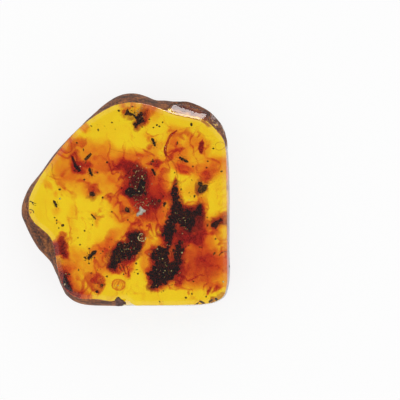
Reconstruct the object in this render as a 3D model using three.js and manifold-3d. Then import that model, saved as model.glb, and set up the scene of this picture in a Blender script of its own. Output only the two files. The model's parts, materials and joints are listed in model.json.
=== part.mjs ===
import * as THREE from "three";
import { mergeVertices } from "three/addons/utils/BufferGeometryUtils.js";
import Module from "manifold-3d";

// A polished slab of amber, lying on its back face, with small insects and plant debris sealed in it.
// Millimetres. +X runs along the slab's width, +Y towards its rounded top, +Z up out of its front face.
// The origin is at the middle of the slab's box, at the height of the surface that it lies on.

// Driving dimensions of the slab
const THICKNESS = 10; // from the flat back face to the middle of the front face
const GIRDLE = 4.6; // height at which the slab is widest
const SHOULDER = 9.55; // height of the edge of the polished front face
const PARTING = 5; // height of the flow plane between two runs of resin, on which the debris lies
const SKIN_RELIEF = 0.2; // how far the natural skin swells and dips
const CUT_SIDE_X = 15; // to the right of this the side is sawn and polished, so it has no relief
// Rings of the domed front face: share of the way from the hub to its edge, share of the dome's rise
const DOME = [[0.965, 0.7], [0.6, 0.93]];

// Driving dimensions of what is sealed in it
const CLEARANCE = 0.3; // free space between an inclusion and the wall of its pocket
const GRAIN_THICKNESS = 0.72; // of a debris grain, as a share of its width
const LEG_RADIUS = 0.07; // insect leg
const ANTENNA_RADIUS = 0.05;
const FLECK_LIFT = 4.2; // of the pale fleck above the flow plane, just under the front face
const LUMP_LIFT = 3.7; // of the lump that the slab's lower front edge was ground through
// An insect's body, as shares of its length: middle and half length of each part
const ABDOMEN = { at: 0.27, half: 0.29 };
const THORAX = { at: 0.62, half: 0.19 };
const HEAD = { at: 0.88, half: 0.12 };
const WINGS = { at: 0.24, half: 0.46 };
const HEAD_WIDTH = 0.75; // of the body's own width
const WING_WIDTH = 1.15;
const WING_THICKNESS = 0.2;
const LEG_SPREADS = [-0.34, 0.02, 0.36]; // where the legs stand, from the thorax's middle
const KNEE_OUT = 0.55; // share of a leg's reach at which its knee is
const FOOT_SPREAD = 1.6; // how much further along the feet are than the knees
const ANTENNA_FORWARD = 1.18; // share of the body's length at which the antennae end

// How finely the slab is faceted
const SEGMENTS = 72; // round the slab
const SIDE_STEPS = 3; // rings from the girdle to each face edge
const OUTLINE_SAMPLES = 720;
const POCKET_SIDES = 6;

// Outline of the slab seen from the front, at its girdle, clockwise from the left corner
const GIRDLE_OUTLINE = [
  [-19.4, -2.3], [-19.0, -0.3], [-17.9, 2.2], [-15.8, 4.9], [-13.6, 8.0], [-10.9, 11.0],
  [-7.9, 14.0], [-5.4, 16.4], [-3.3, 18.1], [-1.5, 19.2], [0.4, 19.7], [2.4, 19.6],
  [4.5, 18.9], [6.3, 18.2], [8.4, 18.0], [10.6, 18.2], [13.0, 17.6], [15.2, 16.5],
  [17.1, 14.8], [18.3, 12.9], [18.8, 10.6], [19.1, 7.3], [19.3, 1.8], [19.3, -4.7],
  [19.3, -10.3], [19.4, -12.9], [19.2, -15.1], [19.0, -16.9], [18.1, -18.3], [16.3, -19.2],
  [13.4, -19.6], [8.2, -19.7], [1.7, -19.7], [-4.8, -19.7], [-8.1, -19.4], [-10.4, -18.3],
  [-11.9, -16.0], [-13.0, -13.4], [-14.1, -11.3], [-15.9, -9.5], [-17.3, -7.4], [-18.5, -4.9],
];

// Edge of the polished front face, where the brown skin begins
const FRONT_OUTLINE = [
  [-17.6, -1.2], [-17.4, 0.5], [-16.6, 2.3], [-15.4, 4.4], [-13.4, 7.2], [-10.8, 10.6],
  [-7.8, 13.6], [-5.2, 15.5], [-2.9, 16.8], [-0.7, 17.6], [1.5, 17.8], [3.5, 17.6],
  [5.6, 17.0], [7.8, 16.2], [10.3, 15.5], [12.6, 15.0], [14.5, 14.6], [15.9, 13.5],
  [17.2, 12.1], [18.2, 10.7], [18.5, 8.8], [18.6, 3.6], [18.7, -3.8], [18.7, -11.2],
  [18.7, -15.3], [18.4, -17.2], [17.4, -18.3], [15.6, -19.0], [11.9, -19.3], [6.3, -19.4],
  [0.8, -19.3], [-1.5, -18.8], [-4.8, -18.3], [-7.6, -18.2], [-9.8, -17.5], [-11.3, -16.0],
  [-11.9, -14.2], [-12.5, -11.9], [-12.9, -9.2], [-13.5, -7.2], [-14.8, -5.7], [-16.5, -4.3],
  [-17.4, -2.8],
];

// Edge of the flat back face
const BACK_OUTLINE = [
  [-18.0, -1.4], [-16.7, 1.8], [-13.8, 5.8], [-9.8, 10.4], [-5.4, 14.9], [-2.6, 17.0],
  [0.8, 18.2], [4.5, 17.6], [8.5, 16.7], [13.0, 16.2], [16.1, 14.3], [17.8, 11.8],
  [18.5, 7.3], [18.8, -0.1], [18.8, -9.4], [18.7, -14.0], [17.8, -16.9], [14.8, -18.4],
  [8.2, -18.7], [0.8, -18.7], [-4.8, -18.4], [-8.0, -17.6], [-10.0, -15.8], [-11.2, -13.0],
  [-12.4, -10.4], [-14.0, -8.4], [-15.8, -6.4], [-17.3, -4.2],
];

// A point inside every outline, from which each of them can be seen whole
const HUB = [1, -2];

const wasm = await Module();
wasm.setup();

function solidFrom(positions, triangles) {
  const vertProperties = new Float32Array(positions);
  return new wasm.Manifold(
    new wasm.Mesh({ numProp: 3, vertProperties, triVerts: new Uint32Array(triangles) }),
  );
}

// Closed geometry as a solid, once the corners that its faces share are merged
function toSolid(geometry) {
  const bare = geometry.clone().deleteAttribute("normal").deleteAttribute("uv");
  const merged = mergeVertices(bare, 1e-5);
  return solidFrom(merged.attributes.position.array, merged.index.array);
}

function toGeometry(solid) {
  const mesh = solid.getMesh();
  const geometry = new THREE.BufferGeometry();
  geometry.setAttribute("position", new THREE.BufferAttribute(mesh.vertProperties, mesh.numProp));
  geometry.setIndex(new THREE.BufferAttribute(mesh.triVerts, 1));
  return geometry;
}

const joined = (solids) => solids.reduce((whole, solid) => whole.add(solid));

// A smooth unevenness between -1 and 1
function unevenness(x, y, z) {
  return (Math.sin(2.1 * x + 1.3 * y + 0.7) + Math.sin(1.7 * y - 2.3 * z + 2.1)
    + Math.sin(1.9 * z + 1.1 * x - 0.4)) / 3;
}

// Distance from the hub to an outline, in each of the slab's directions
function radiiOf(outline) {
  const corners = outline.map(([x, y]) => new THREE.Vector3(x - HUB[0], y - HUB[1], 0));
  const curve = new THREE.CatmullRomCurve3(corners, true, "centripetal");
  const samples = curve.getPoints(OUTLINE_SAMPLES)
    .map((p) => ({ angle: Math.atan2(p.y, p.x), radius: Math.hypot(p.x, p.y) }))
    .sort((a, b) => a.angle - b.angle);
  const first = samples[0];
  const last = samples[samples.length - 1];
  samples.unshift({ angle: last.angle - 2 * Math.PI, radius: last.radius });
  samples.push({ angle: first.angle + 2 * Math.PI, radius: first.radius });
  return Array.from({ length: SEGMENTS }, (_, i) => {
    const angle = directionOf(i);
    const next = samples.findIndex((sample) => sample.angle > angle);
    const [a, b] = [samples[next - 1], samples[next]];
    return THREE.MathUtils.mapLinear(angle, a.angle, b.angle, a.radius, b.radius);
  });
}

function directionOf(segment) {
  return -Math.PI + (2 * Math.PI * (segment + 0.5)) / SEGMENTS;
}

// One ring of the slab: a radius in each direction, at one height
function ring(radiusAt, height) {
  return Array.from({ length: SEGMENTS }, (_, i) => {
    const radius = radiusAt(i);
    const angle = directionOf(i);
    return [HUB[0] + radius * Math.cos(angle), HUB[1] + radius * Math.sin(angle), height];
  });
}

// Rings of the side between the girdle and one face edge, the girdle's own left out
function sideRings(girdle, edge, edgeHeight) {
  return Array.from({ length: SIDE_STEPS }, (_, step) => {
    const t = (step + 1) / SIDE_STEPS;
    const height = THREE.MathUtils.lerp(GIRDLE, edgeHeight, t);
    return ring((i) => {
      const bulge = THREE.MathUtils.lerp(girdle[i], edge[i], t * t);
      const x = HUB[0] + bulge * Math.cos(directionOf(i));
      const relief = x < CUT_SIDE_X ? SKIN_RELIEF * Math.sin(Math.PI * t) : 0;
      return bulge + relief * unevenness(x, bulge, height);
    }, height);
  });
}

// The whole slab as closed rings, from the middle of the back face to the middle of the front,
// which is polished a little domed
function slab() {
  const girdle = radiiOf(GIRDLE_OUTLINE);
  const front = radiiOf(FRONT_OUTLINE);
  const back = radiiOf(BACK_OUTLINE);
  const rings = [
    ...sideRings(girdle, back, 0).reverse(),
    ring((i) => girdle[i], GIRDLE),
    ...sideRings(girdle, front, SHOULDER),
    ...DOME.map(([share, rise]) =>
      ring((i) => share * front[i], THREE.MathUtils.lerp(SHOULDER, THICKNESS, rise))),
  ];
  const points = [...rings.flat(), [...HUB, 0], [...HUB, THICKNESS]];
  const backMiddle = points.length - 2;
  const frontMiddle = points.length - 1;
  const lastRing = (rings.length - 1) * SEGMENTS;
  const triangles = [];
  for (let i = 0; i < SEGMENTS; i += 1) {
    const next = (i + 1) % SEGMENTS;
    triangles.push(backMiddle, next, i, frontMiddle, lastRing + i, lastRing + next);
    for (let start = 0; start < lastRing; start += SEGMENTS) {
      const [a, b] = [start + i, start + next];
      triangles.push(a, b, b + SEGMENTS, a, b + SEGMENTS, a + SEGMENTS);
    }
  }
  return solidFrom(points.flat(), triangles);
}

// One uneven grain of debris: its place, half its length and width, its turn in degrees, its lift
function grain([x, y, halfLength, halfWidth, turn, lift = 0]) {
  const geometry = new THREE.OctahedronGeometry(1.06, 1);
  const position = geometry.attributes.position;
  const p = new THREE.Vector3();
  for (let i = 0; i < position.count; i += 1) {
    p.fromBufferAttribute(position, i);
    p.multiplyScalar(1 + 0.12 * unevenness(3 * p.x + x, 3 * p.y + y, 3 * p.z));
    position.setXYZ(i, p.x, p.y, p.z);
  }
  geometry.scale(halfLength, halfWidth, GRAIN_THICKNESS * Math.min(halfLength, halfWidth));
  geometry.rotateZ(THREE.MathUtils.degToRad(turn));
  geometry.translate(x, y, PARTING + lift);
  return toSolid(geometry);
}

const clump = (grains) => joined(grains.map(grain));

// An ellipsoid by its centre and half sizes
function ellipsoid(centre, sizes) {
  const geometry = new THREE.SphereGeometry(1, 6, 4);
  geometry.rotateX(Math.PI / 2).scale(...sizes).translate(...centre);
  return toSolid(geometry);
}

// A limb or fibre that follows a path, with a few flat sides
function strand(path, radius, sides = 6, steps = path.length) {
  const curve = new THREE.CatmullRomCurve3(path.map((point) => new THREE.Vector3(...point)));
  const section = new THREE.Shape();
  for (let i = 0; i < sides; i += 1) {
    const angle = (2 * Math.PI * i) / sides;
    const corner = [radius * Math.cos(angle), radius * Math.sin(angle)];
    if (i === 0) section.moveTo(...corner);
    else section.lineTo(...corner);
  }
  return toSolid(new THREE.ExtrudeGeometry(section, { steps, bevelEnabled: false, extrudePath: curve }));
}

// An insect by the tips of its tail and head: three body parts, six bent legs, antennae, folded wings
function insect({ tail, head, width, reach, wings = true }) {
  const length = Math.hypot(head[0] - tail[0], head[1] - tail[1]);
  const bodyHalf = width / 2;
  const bodyPart = ({ at, half }, across, tall, lift = 0) =>
    ellipsoid([at * length, 0, lift], [half * length, across * bodyHalf, tall * bodyHalf]);
  const parts = [bodyPart(ABDOMEN, 1, 0.85), bodyPart(THORAX, 1, 1), bodyPart(HEAD, HEAD_WIDTH, HEAD_WIDTH)];
  const thorax = THORAX.at * length;
  for (const side of [-1, 1]) {
    for (const spread of LEG_SPREADS) {
      const hip = [thorax + 0.25 * spread * length, 0, -0.3 * bodyHalf];
      const knee = [thorax + spread * length, KNEE_OUT * side * reach, 0.2 * bodyHalf];
      const foot = [thorax + FOOT_SPREAD * spread * length, side * reach, -0.9 * bodyHalf];
      parts.push(strand([hip, knee, foot], LEG_RADIUS, 3, 2));
    }
    const brow = [HEAD.at * length, 0.1 * side * bodyHalf, 0];
    const tip = [ANTENNA_FORWARD * length, 0.5 * side * reach, 0.2];
    parts.push(strand([brow, tip], ANTENNA_RADIUS, 3, 1));
  }
  if (wings) parts.push(bodyPart(WINGS, WING_WIDTH, WING_THICKNESS, 0.8 * bodyHalf));
  const turn = THREE.MathUtils.radToDeg(Math.atan2(head[1] - tail[1], head[0] - tail[0]));
  return joined(parts).rotate([0, 0, turn]).translate([tail[0], tail[1], PARTING]);
}

// How far a solid's corners reach from the Z axis in a direction across the slab
function reachOf(solid, direction) {
  const { vertProperties, numProp } = solid.getMesh();
  let reach = -Infinity;
  for (let i = 0; i < vertProperties.length; i += numProp) {
    reach = Math.max(reach, direction.x * vertProperties[i] + direction.y * vertProperties[i + 1]);
  }
  return reach;
}

// The six-sided pocket round an inclusion, clear of it all round, and open at the parting plane or,
// as a pit, at the front
function pocketOf([name, solid]) {
  const turn = (2 * Math.PI) / POCKET_SIDES;
  const sides = Array.from({ length: POCKET_SIDES }, (_, i) => {
    const normal = new THREE.Vector2(Math.cos(i * turn), Math.sin(i * turn));
    return { normal, distance: reachOf(solid, normal) + CLEARANCE };
  });
  const corners = sides.map((side, i) => {
    const next = sides[(i + 1) % POCKET_SIDES];
    const along = (next.distance - side.distance * Math.cos(turn)) / Math.sin(turn);
    const tangent = new THREE.Vector2(-side.normal.y, side.normal.x);
    return side.normal.clone().multiplyScalar(side.distance).addScaledVector(tangent, along);
  });
  const { min, max } = solid.boundingBox();
  const low = min[2] - CLEARANCE;
  const top = name in PITTED ? THICKNESS + CLEARANCE : max[2] + CLEARANCE;
  const depth = top - low;
  const prism = new THREE.ExtrudeGeometry(new THREE.Shape(corners), { depth, bevelEnabled: false });
  return toSolid(prism.translate(0, 0, low));
}

// Colours read off the real thing
const amber = new THREE.MeshStandardMaterial({
  name: "amber", color: 0xe0a52a, roughness: 0.08, metalness: 0, transparent: true, opacity: 0.45,
});
const finish = (name, color, roughness = 0.7) =>
  new THREE.MeshStandardMaterial({ name, color, roughness, metalness: 0 });
const bark = finish("bark_debris", 0x30211f, 0.85);
const redBark = finish("red_bark", 0x6e1512, 0.7);
const chitin = finish("chitin", 0x3a1c10, 0.4);
const pale = finish("pale_mould", 0xded2cf, 0.9);

// Clumps of bark and plant debris: [x, y, half length, half width, turn in degrees, lift]
const CLUMPS = {
  debris_upper: [bark, [
    [9.4, 3.1, 1.1, 0.4, 82], [9.3, 0.6, 1.7, 0.8, 88], [9.0, -1.6, 1.5, 1.0, 80],
    [8.2, -4.1, 1.8, 1.1, 62, 0.1], [7.5, -6.3, 1.5, 1.0, 100], [7.9, -7.3, 0.9, 0.6, 120],
    [11.2, -3.4, 1.7, 1.7, 0, 0.2], [13.0, -2.6, 1.4, 1.0, 10], [11.7, -4.6, 1.2, 1.1, 20, -0.2],
    [13.7, -1.7, 1.0, 0.5, 75],
  ]],
  debris_lower: [bark, [
    [6.6, -9.6, 1.9, 1.1, 10], [9.6, -10.0, 1.6, 1.3, 60, 0.2], [5.9, -13.3, 1.8, 1.6, 60, -0.1],
    [8.1, -12.7, 1.9, 1.5, 50, 0.2], [5.6, -15.4, 1.5, 1.0, 50], [7.6, -14.7, 1.9, 1.0, 30],
    [7.0, -11.2, 1.9, 1.1, 0, -0.1],
  ]],
  debris_centre: [bark, [
    [2.2, 4.5, 1.1, 0.7, 80], [3.1, 3.3, 1.5, 1.2, 60, 0.1], [3.8, 2.7, 1.1, 0.9, 40],
    [2.3, 1.8, 1.2, 1.0, 20], [0.8, 1.4, 1.2, 0.8, 20], [1.4, 2.8, 0.8, 1.0, 0, -0.1],
  ]],
  debris_low_centre: [bark, [
    [1.9, -6.1, 1.0, 0.5, 75], [1.4, -7.7, 1.4, 1.1, 60], [1.9, -9.3, 1.5, 1.1, 70, 0.1],
    [0.6, -9.8, 1.1, 1.0, 0], [-0.8, -9.5, 1.2, 0.9, 30], [-1.6, -10.7, 1.6, 1.0, 50],
    [-2.4, -11.6, 0.7, 0.6, 40],
  ]],
  debris_top: [bark, [
    [0.4, 15.7, 1.2, 0.6, -20], [2.5, 15.7, 1.7, 0.7, 5], [4.0, 16.1, 1.0, 0.6, 30],
    [2.6, 14.6, 1.0, 0.8, 50], [1.9, 13.6, 1.1, 0.6, 70], [1.2, 15.0, 0.9, 0.7, 0],
  ]],
  pellet_pair: [bark, [[13.6, 2.8, 0.5, 0.4, 0], [14.2, 1.8, 0.8, 0.7, 30], [13.8, 2.3, 0.4, 0.4, 0]]],
  bark_chip_right: [bark, [
    [16.6, -4.3, 1.1, 0.6, 60], [17.1, -3.6, 0.5, 0.4, 20], [16.2, -3.8, 0.4, 0.3, 0],
  ]],
  bark_shred_left: [redBark, [
    [-8.6, 5.4, 1.0, 0.9, 0], [-9.4, 6.6, 1.1, 0.4, -62], [-9.8, 7.8, 0.8, 0.3, -72],
  ]],
  red_scale_left: [redBark, [[-11.5, -7.6, 1.6, 0.9, -68]]],
  red_scale_right: [redBark, [[13.9, 9.8, 1.3, 0.7, 88]]],
  round_grain: [bark, [[-6.1, 0.9, 0.5, 0.5, 0]]],
  seed: [bark, [[0.3, -2.1, 0.5, 0.4, 60], [0.5, -1.7, 0.3, 0.2, 60]]],
};

// What lies just under the front face or in its edge, in a pit that is open to the front
const PITTED = {
  pale_fleck: [pale, [
    [2.8, -2.4, 0.9, 0.5, 20, FLECK_LIFT], [2.9, -1.9, 0.6, 0.3, 70, FLECK_LIFT],
  ]],
  edge_lump: [bark, [[-1.1, -18.6, 0.8, 0.7, 70, LUMP_LIFT], [-0.5, -18.9, 0.6, 0.4, 10, LUMP_LIFT]]],
};

// Loose legs, stems and fibres: their paths and half thickness
const STRANDS = {
  plant_fibre: [redBark, [
    [9.6, 12.6], [9.2, 12.2], [8.4, 11.7], [7.9, 11.0], [7.5, 10.1], [7.4, 9.2], [7.5, 8.5], [7.4, 7.8],
  ], 0.2],
  stick_upper_left: [bark, [[-7.6, 7.2], [-6.9, 7.8], [-6.3, 8.3]], 0.22],
  stem_low: [redBark, [[-0.6, -11.8], [-0.3, -12.7], [0.0, -13.7]], 0.14],
  leg_right: [chitin, [[17.1, -10.5], [17.5, -9.9], [18.1, -9.7]], 0.12],
  leg_left_upper: [chitin, [[-17.2, -0.3], [-16.8, -0.4], [-16.2, -0.8]], 0.14],
  leg_left_lower: [chitin, [[-17.3, -1.5], [-17.0, -1.9], [-16.5, -2.3]], 0.12],
};

// Insects: tips of the tail and the head, body width, and how far the legs reach to each side
const INSECTS = {
  insect_low_left: { tail: [-5.4, -9.5], head: [-6.9, -11.3], width: 0.6, reach: 0.8 },
  insect_top: { tail: [4.6, 11.5], head: [5.3, 9.9], width: 0.65, reach: 0.8 },
  insect_centre: { tail: [4.9, 5.7], head: [5.4, 4.1], width: 0.55, reach: 0.7 },
  insect_right: { tail: [9.8, 7.8], head: [11.6, 6.9], width: 0.55, reach: 0.7 },
  insect_upper_left: { tail: [-6.6, 5.9], head: [-5.9, 4.1], width: 0.6, reach: 0.6 },
  insect_left: { tail: [-13.4, 0.0], head: [-12.9, -1.7], width: 0.5, reach: 0.6 },
  insect_long_legs: { tail: [-6.3, -2.6], head: [-5.5, -3.9], width: 0.4, reach: 1.1, wings: false },
};

const inclusions = [
  ...Object.entries({ ...CLUMPS, ...PITTED }).map(([name, [material, grains]]) =>
    [name, clump(grains), material]),
  ...Object.entries(STRANDS).map(([name, [material, path, radius]]) =>
    [name, strand(path.map(([x, y]) => [x, y, PARTING]), radius), material]),
  ...Object.entries(INSECTS).map(([name, sizes]) => [name, insect(sizes), chitin]),
];

// The clear slab is parted at the flow plane, and each half keeps its part of every pocket
function halves() {
  const reach = 60;
  const above = new THREE.BoxGeometry(reach, reach, reach).translate(0, 0, PARTING + reach / 2);
  const below = new THREE.BoxGeometry(reach, reach, reach).translate(0, 0, PARTING - reach / 2);
  const pockets = joined(inclusions.map(pocketOf));
  const body = slab().subtract(pockets);
  return [
    ["amber_front", body.intersect(toSolid(above)), amber],
    ["amber_back", body.intersect(toSolid(below)), amber],
  ];
}

const part = new THREE.Group();
for (const [name, solid, material] of [...halves(), ...inclusions]) {
  const mesh = new THREE.Mesh(toGeometry(solid), material);
  mesh.name = name;
  part.add(mesh);
}
const middle = new THREE.Box3().setFromObject(part).getCenter(new THREE.Vector3());
part.position.set(-middle.x, -middle.y, 0);

export default part;
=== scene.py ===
import json
import logging
import math
from dataclasses import dataclass, field
from enum import Enum
from typing import Any, Iterable, Sequence

import bpy
import numpy as np
from bpy.types import Material, Node, NodeSocket, NodeTree, Object
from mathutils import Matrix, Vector
from mathutils.bvhtree import BVHTree


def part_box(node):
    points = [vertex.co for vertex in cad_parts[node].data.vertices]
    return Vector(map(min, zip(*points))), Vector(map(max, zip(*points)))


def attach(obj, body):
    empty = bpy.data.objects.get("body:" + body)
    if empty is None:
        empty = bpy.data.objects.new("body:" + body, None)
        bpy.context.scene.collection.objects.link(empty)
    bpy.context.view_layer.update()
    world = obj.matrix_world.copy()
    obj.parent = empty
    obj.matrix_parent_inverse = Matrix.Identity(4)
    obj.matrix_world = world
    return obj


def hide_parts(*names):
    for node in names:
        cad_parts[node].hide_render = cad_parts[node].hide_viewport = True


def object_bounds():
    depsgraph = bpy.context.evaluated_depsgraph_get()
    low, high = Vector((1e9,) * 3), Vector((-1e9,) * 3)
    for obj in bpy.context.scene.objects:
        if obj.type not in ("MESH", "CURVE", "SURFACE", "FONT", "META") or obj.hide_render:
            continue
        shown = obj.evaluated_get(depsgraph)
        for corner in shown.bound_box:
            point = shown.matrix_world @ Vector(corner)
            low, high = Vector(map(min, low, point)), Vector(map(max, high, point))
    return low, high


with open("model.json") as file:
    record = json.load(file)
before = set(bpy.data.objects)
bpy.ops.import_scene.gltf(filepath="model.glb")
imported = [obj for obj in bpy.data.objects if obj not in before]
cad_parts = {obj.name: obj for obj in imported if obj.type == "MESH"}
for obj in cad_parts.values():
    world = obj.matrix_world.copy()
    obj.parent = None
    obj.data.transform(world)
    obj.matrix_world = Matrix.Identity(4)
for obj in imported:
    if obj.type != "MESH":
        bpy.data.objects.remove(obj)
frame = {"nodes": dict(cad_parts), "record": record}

# A polished slab of amber with tiny insects and plant debris in it, lying on its back on a pale floor.
# Sizes and places are in millimetres, in the frame of the CAD model, and turn to metres at one place.

LOG = logging.getLogger("amber")
MM = 0.001
CAD_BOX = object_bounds()
FRONT_NODE = "amber_front"
BACK_NODE = "amber_back"
EDGE_NODE = "edge_lump"

Array = np.ndarray
Place = tuple[float, float]
Grain = tuple[float, float, float, float]
Part = tuple[Array, list[tuple[int, ...]]]


class Slot(Enum):
    """Material slots of the record that the pieces go in."""

    AMBER = "amber"
    BARK = "bark_debris"
    RED_BARK = "red_bark"
    CHITIN = "chitin"
    MOULD = "pale_mould"


# Helpers for colours, noise, meshes and materials

def linear(hex_colour: str) -> tuple[float, float, float, float]:
    """Turns an sRGB hex colour into the linear values that a shader takes.

    Args:
        hex_colour: Six hex digits after a hash, such as "#e4ba22".

    Returns:
        Linear red, green and blue, and an alpha of 1.
    """
    shares = [int(hex_colour[i:i + 2], 16) / 255 for i in (1, 3, 5)]
    lit = [c / 12.92 if c <= 0.04045 else ((c + 0.055) / 1.055) ** 2.4 for c in shares]
    return (*lit, 1.0)


def value_noise(points: Array, size: float, seed: int) -> Array:
    """Smooth noise that is the same on every run.

    Args:
        points: Places, one row of x, y and z each.
        size: Width of one swell of the noise, in the unit of the points.
        seed: Whole number that picks one pattern.

    Returns:
        One value from -1 to 1 for each place.
    """
    shifted = points / size + 19.37 * seed
    cell = np.floor(shifted).astype(np.int64)
    part = shifted - cell
    part = part * part * (3 - 2 * part)
    total = np.zeros(len(points))
    for corner in np.ndindex(2, 2, 2):
        at = cell + np.array(corner)
        mixed = at[:, 0] * 374761393 + at[:, 1] * 668265263 + at[:, 2] * 1440662683 + seed * 69069
        mixed = ((mixed ^ (mixed >> 13)) * 1274126177) & 0x7FFFFFFF
        mixed = (mixed ^ (mixed >> 16)) & 0xFFFFF
        share = np.prod(np.where(np.array(corner) == 1, part, 1 - part), axis=1)
        total += share * mixed / 0xFFFFF
    return 2 * total - 1


def layered_noise(points: Array, size: float, seed: int, layers: int = 3) -> Array:
    """Noise with finer and weaker noise on top of it.

    Args:
        points: Places, one row of x, y and z each.
        size: Width of the widest swells.
        seed: Whole number that picks one pattern.
        layers: How many sizes of noise are added, each half as wide as the one before.

    Returns:
        One value, mostly from -1 to 1, for each place.
    """
    total = np.zeros(len(points))
    for layer in range(layers):
        total += value_noise(points, size / 2 ** layer, seed + layer) / 2 ** layer
    return total / 1.4


def new_piece(name: str, vertices: Array, faces: Sequence, smooth: bool = True) -> Object:
    """Makes a mesh object from places in millimetres.

    Args:
        name: Name of the object and its mesh.
        vertices: One row of x, y and z for each vertex, in millimetres.
        faces: Vertex numbers of each face, turning anticlockwise as seen from outside.
        smooth: Whether the faces are shaded smooth.

    Returns:
        The new object, in the scene and at the origin.
    """
    mesh = bpy.data.meshes.new(name)
    mesh.from_pydata((np.asarray(vertices) * MM).tolist(), [], [list(map(int, f)) for f in faces])
    mesh.polygons.foreach_set("use_smooth", [smooth] * len(mesh.polygons))
    mesh.update()
    piece = bpy.data.objects.new(name, mesh)
    bpy.context.scene.collection.objects.link(piece)
    return piece


def point_attribute(piece: Object, name: str, values: Array) -> None:
    """Stores one number for each vertex, for the piece's material to read."""
    layer = piece.data.attributes.new(name, "FLOAT", "POINT")
    layer.data.foreach_set("value", np.asarray(values, dtype=np.float32))


def add_node(tree: NodeTree, kind: str, inputs: dict[Any, Any] | None = None, **settings: Any) -> Node:
    """Adds one node with its settings, its values and what is linked to it.

    Args:
        tree: Node tree that gets the node.
        kind: The node's type, such as "ShaderNodeMath".
        inputs: Values or other nodes' output sockets, by the input's name or number.
        settings: The node's own properties.

    Returns:
        The new node.
    """
    node = tree.nodes.new(kind)
    for name, value in settings.items():
        setattr(node, name, value)
    for name, value in (inputs or {}).items():
        if isinstance(value, NodeSocket):
            tree.links.new(value, node.inputs[name])
        else:
            node.inputs[name].default_value = value
    return node


def new_material(name: str) -> tuple[Material, NodeTree, Node]:
    """Makes an empty node material.

    Args:
        name: Name of the real material.

    Returns:
        The material, its node tree and its output node.
    """
    material = bpy.data.materials.new(name)
    material.use_nodes = True
    tree = material.node_tree
    tree.nodes.clear()
    return material, tree, tree.nodes.new("ShaderNodeOutputMaterial")


def add_absorption(tree: NodeTree, output: Node, per_mm: Sequence[float]) -> None:
    """Fills a see-through piece with plain absorption.

    Args:
        tree: The material's node tree.
        output: Its output node.
        per_mm: How strongly red, green and blue fade, for each millimetre of the way through.
    """
    strongest = max(per_mm)
    colour = [1 - share / strongest for share in per_mm]
    volume = add_node(tree, "ShaderNodeVolumeAbsorption",
                      {"Color": (*colour, 1.0), "Density": strongest / MM})
    tree.links.new(volume.outputs[0], output.inputs["Volume"])


def dress(piece: Object, material: Material, replaces: Sequence[str] = ()) -> None:
    """Gives a piece its material and the one body of the object.

    Args:
        piece: The piece, with its final mesh.
        material: What it is made of.
        replaces: CAD nodes that it takes the place of.
    """
    if replaces:
        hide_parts(*replaces)
    piece.data.materials.clear()
    piece.data.materials.append(material)
    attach(piece, "root")
    LOG.info("%s: %d faces", piece.name, len(piece.data.polygons))


# Finishes

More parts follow.
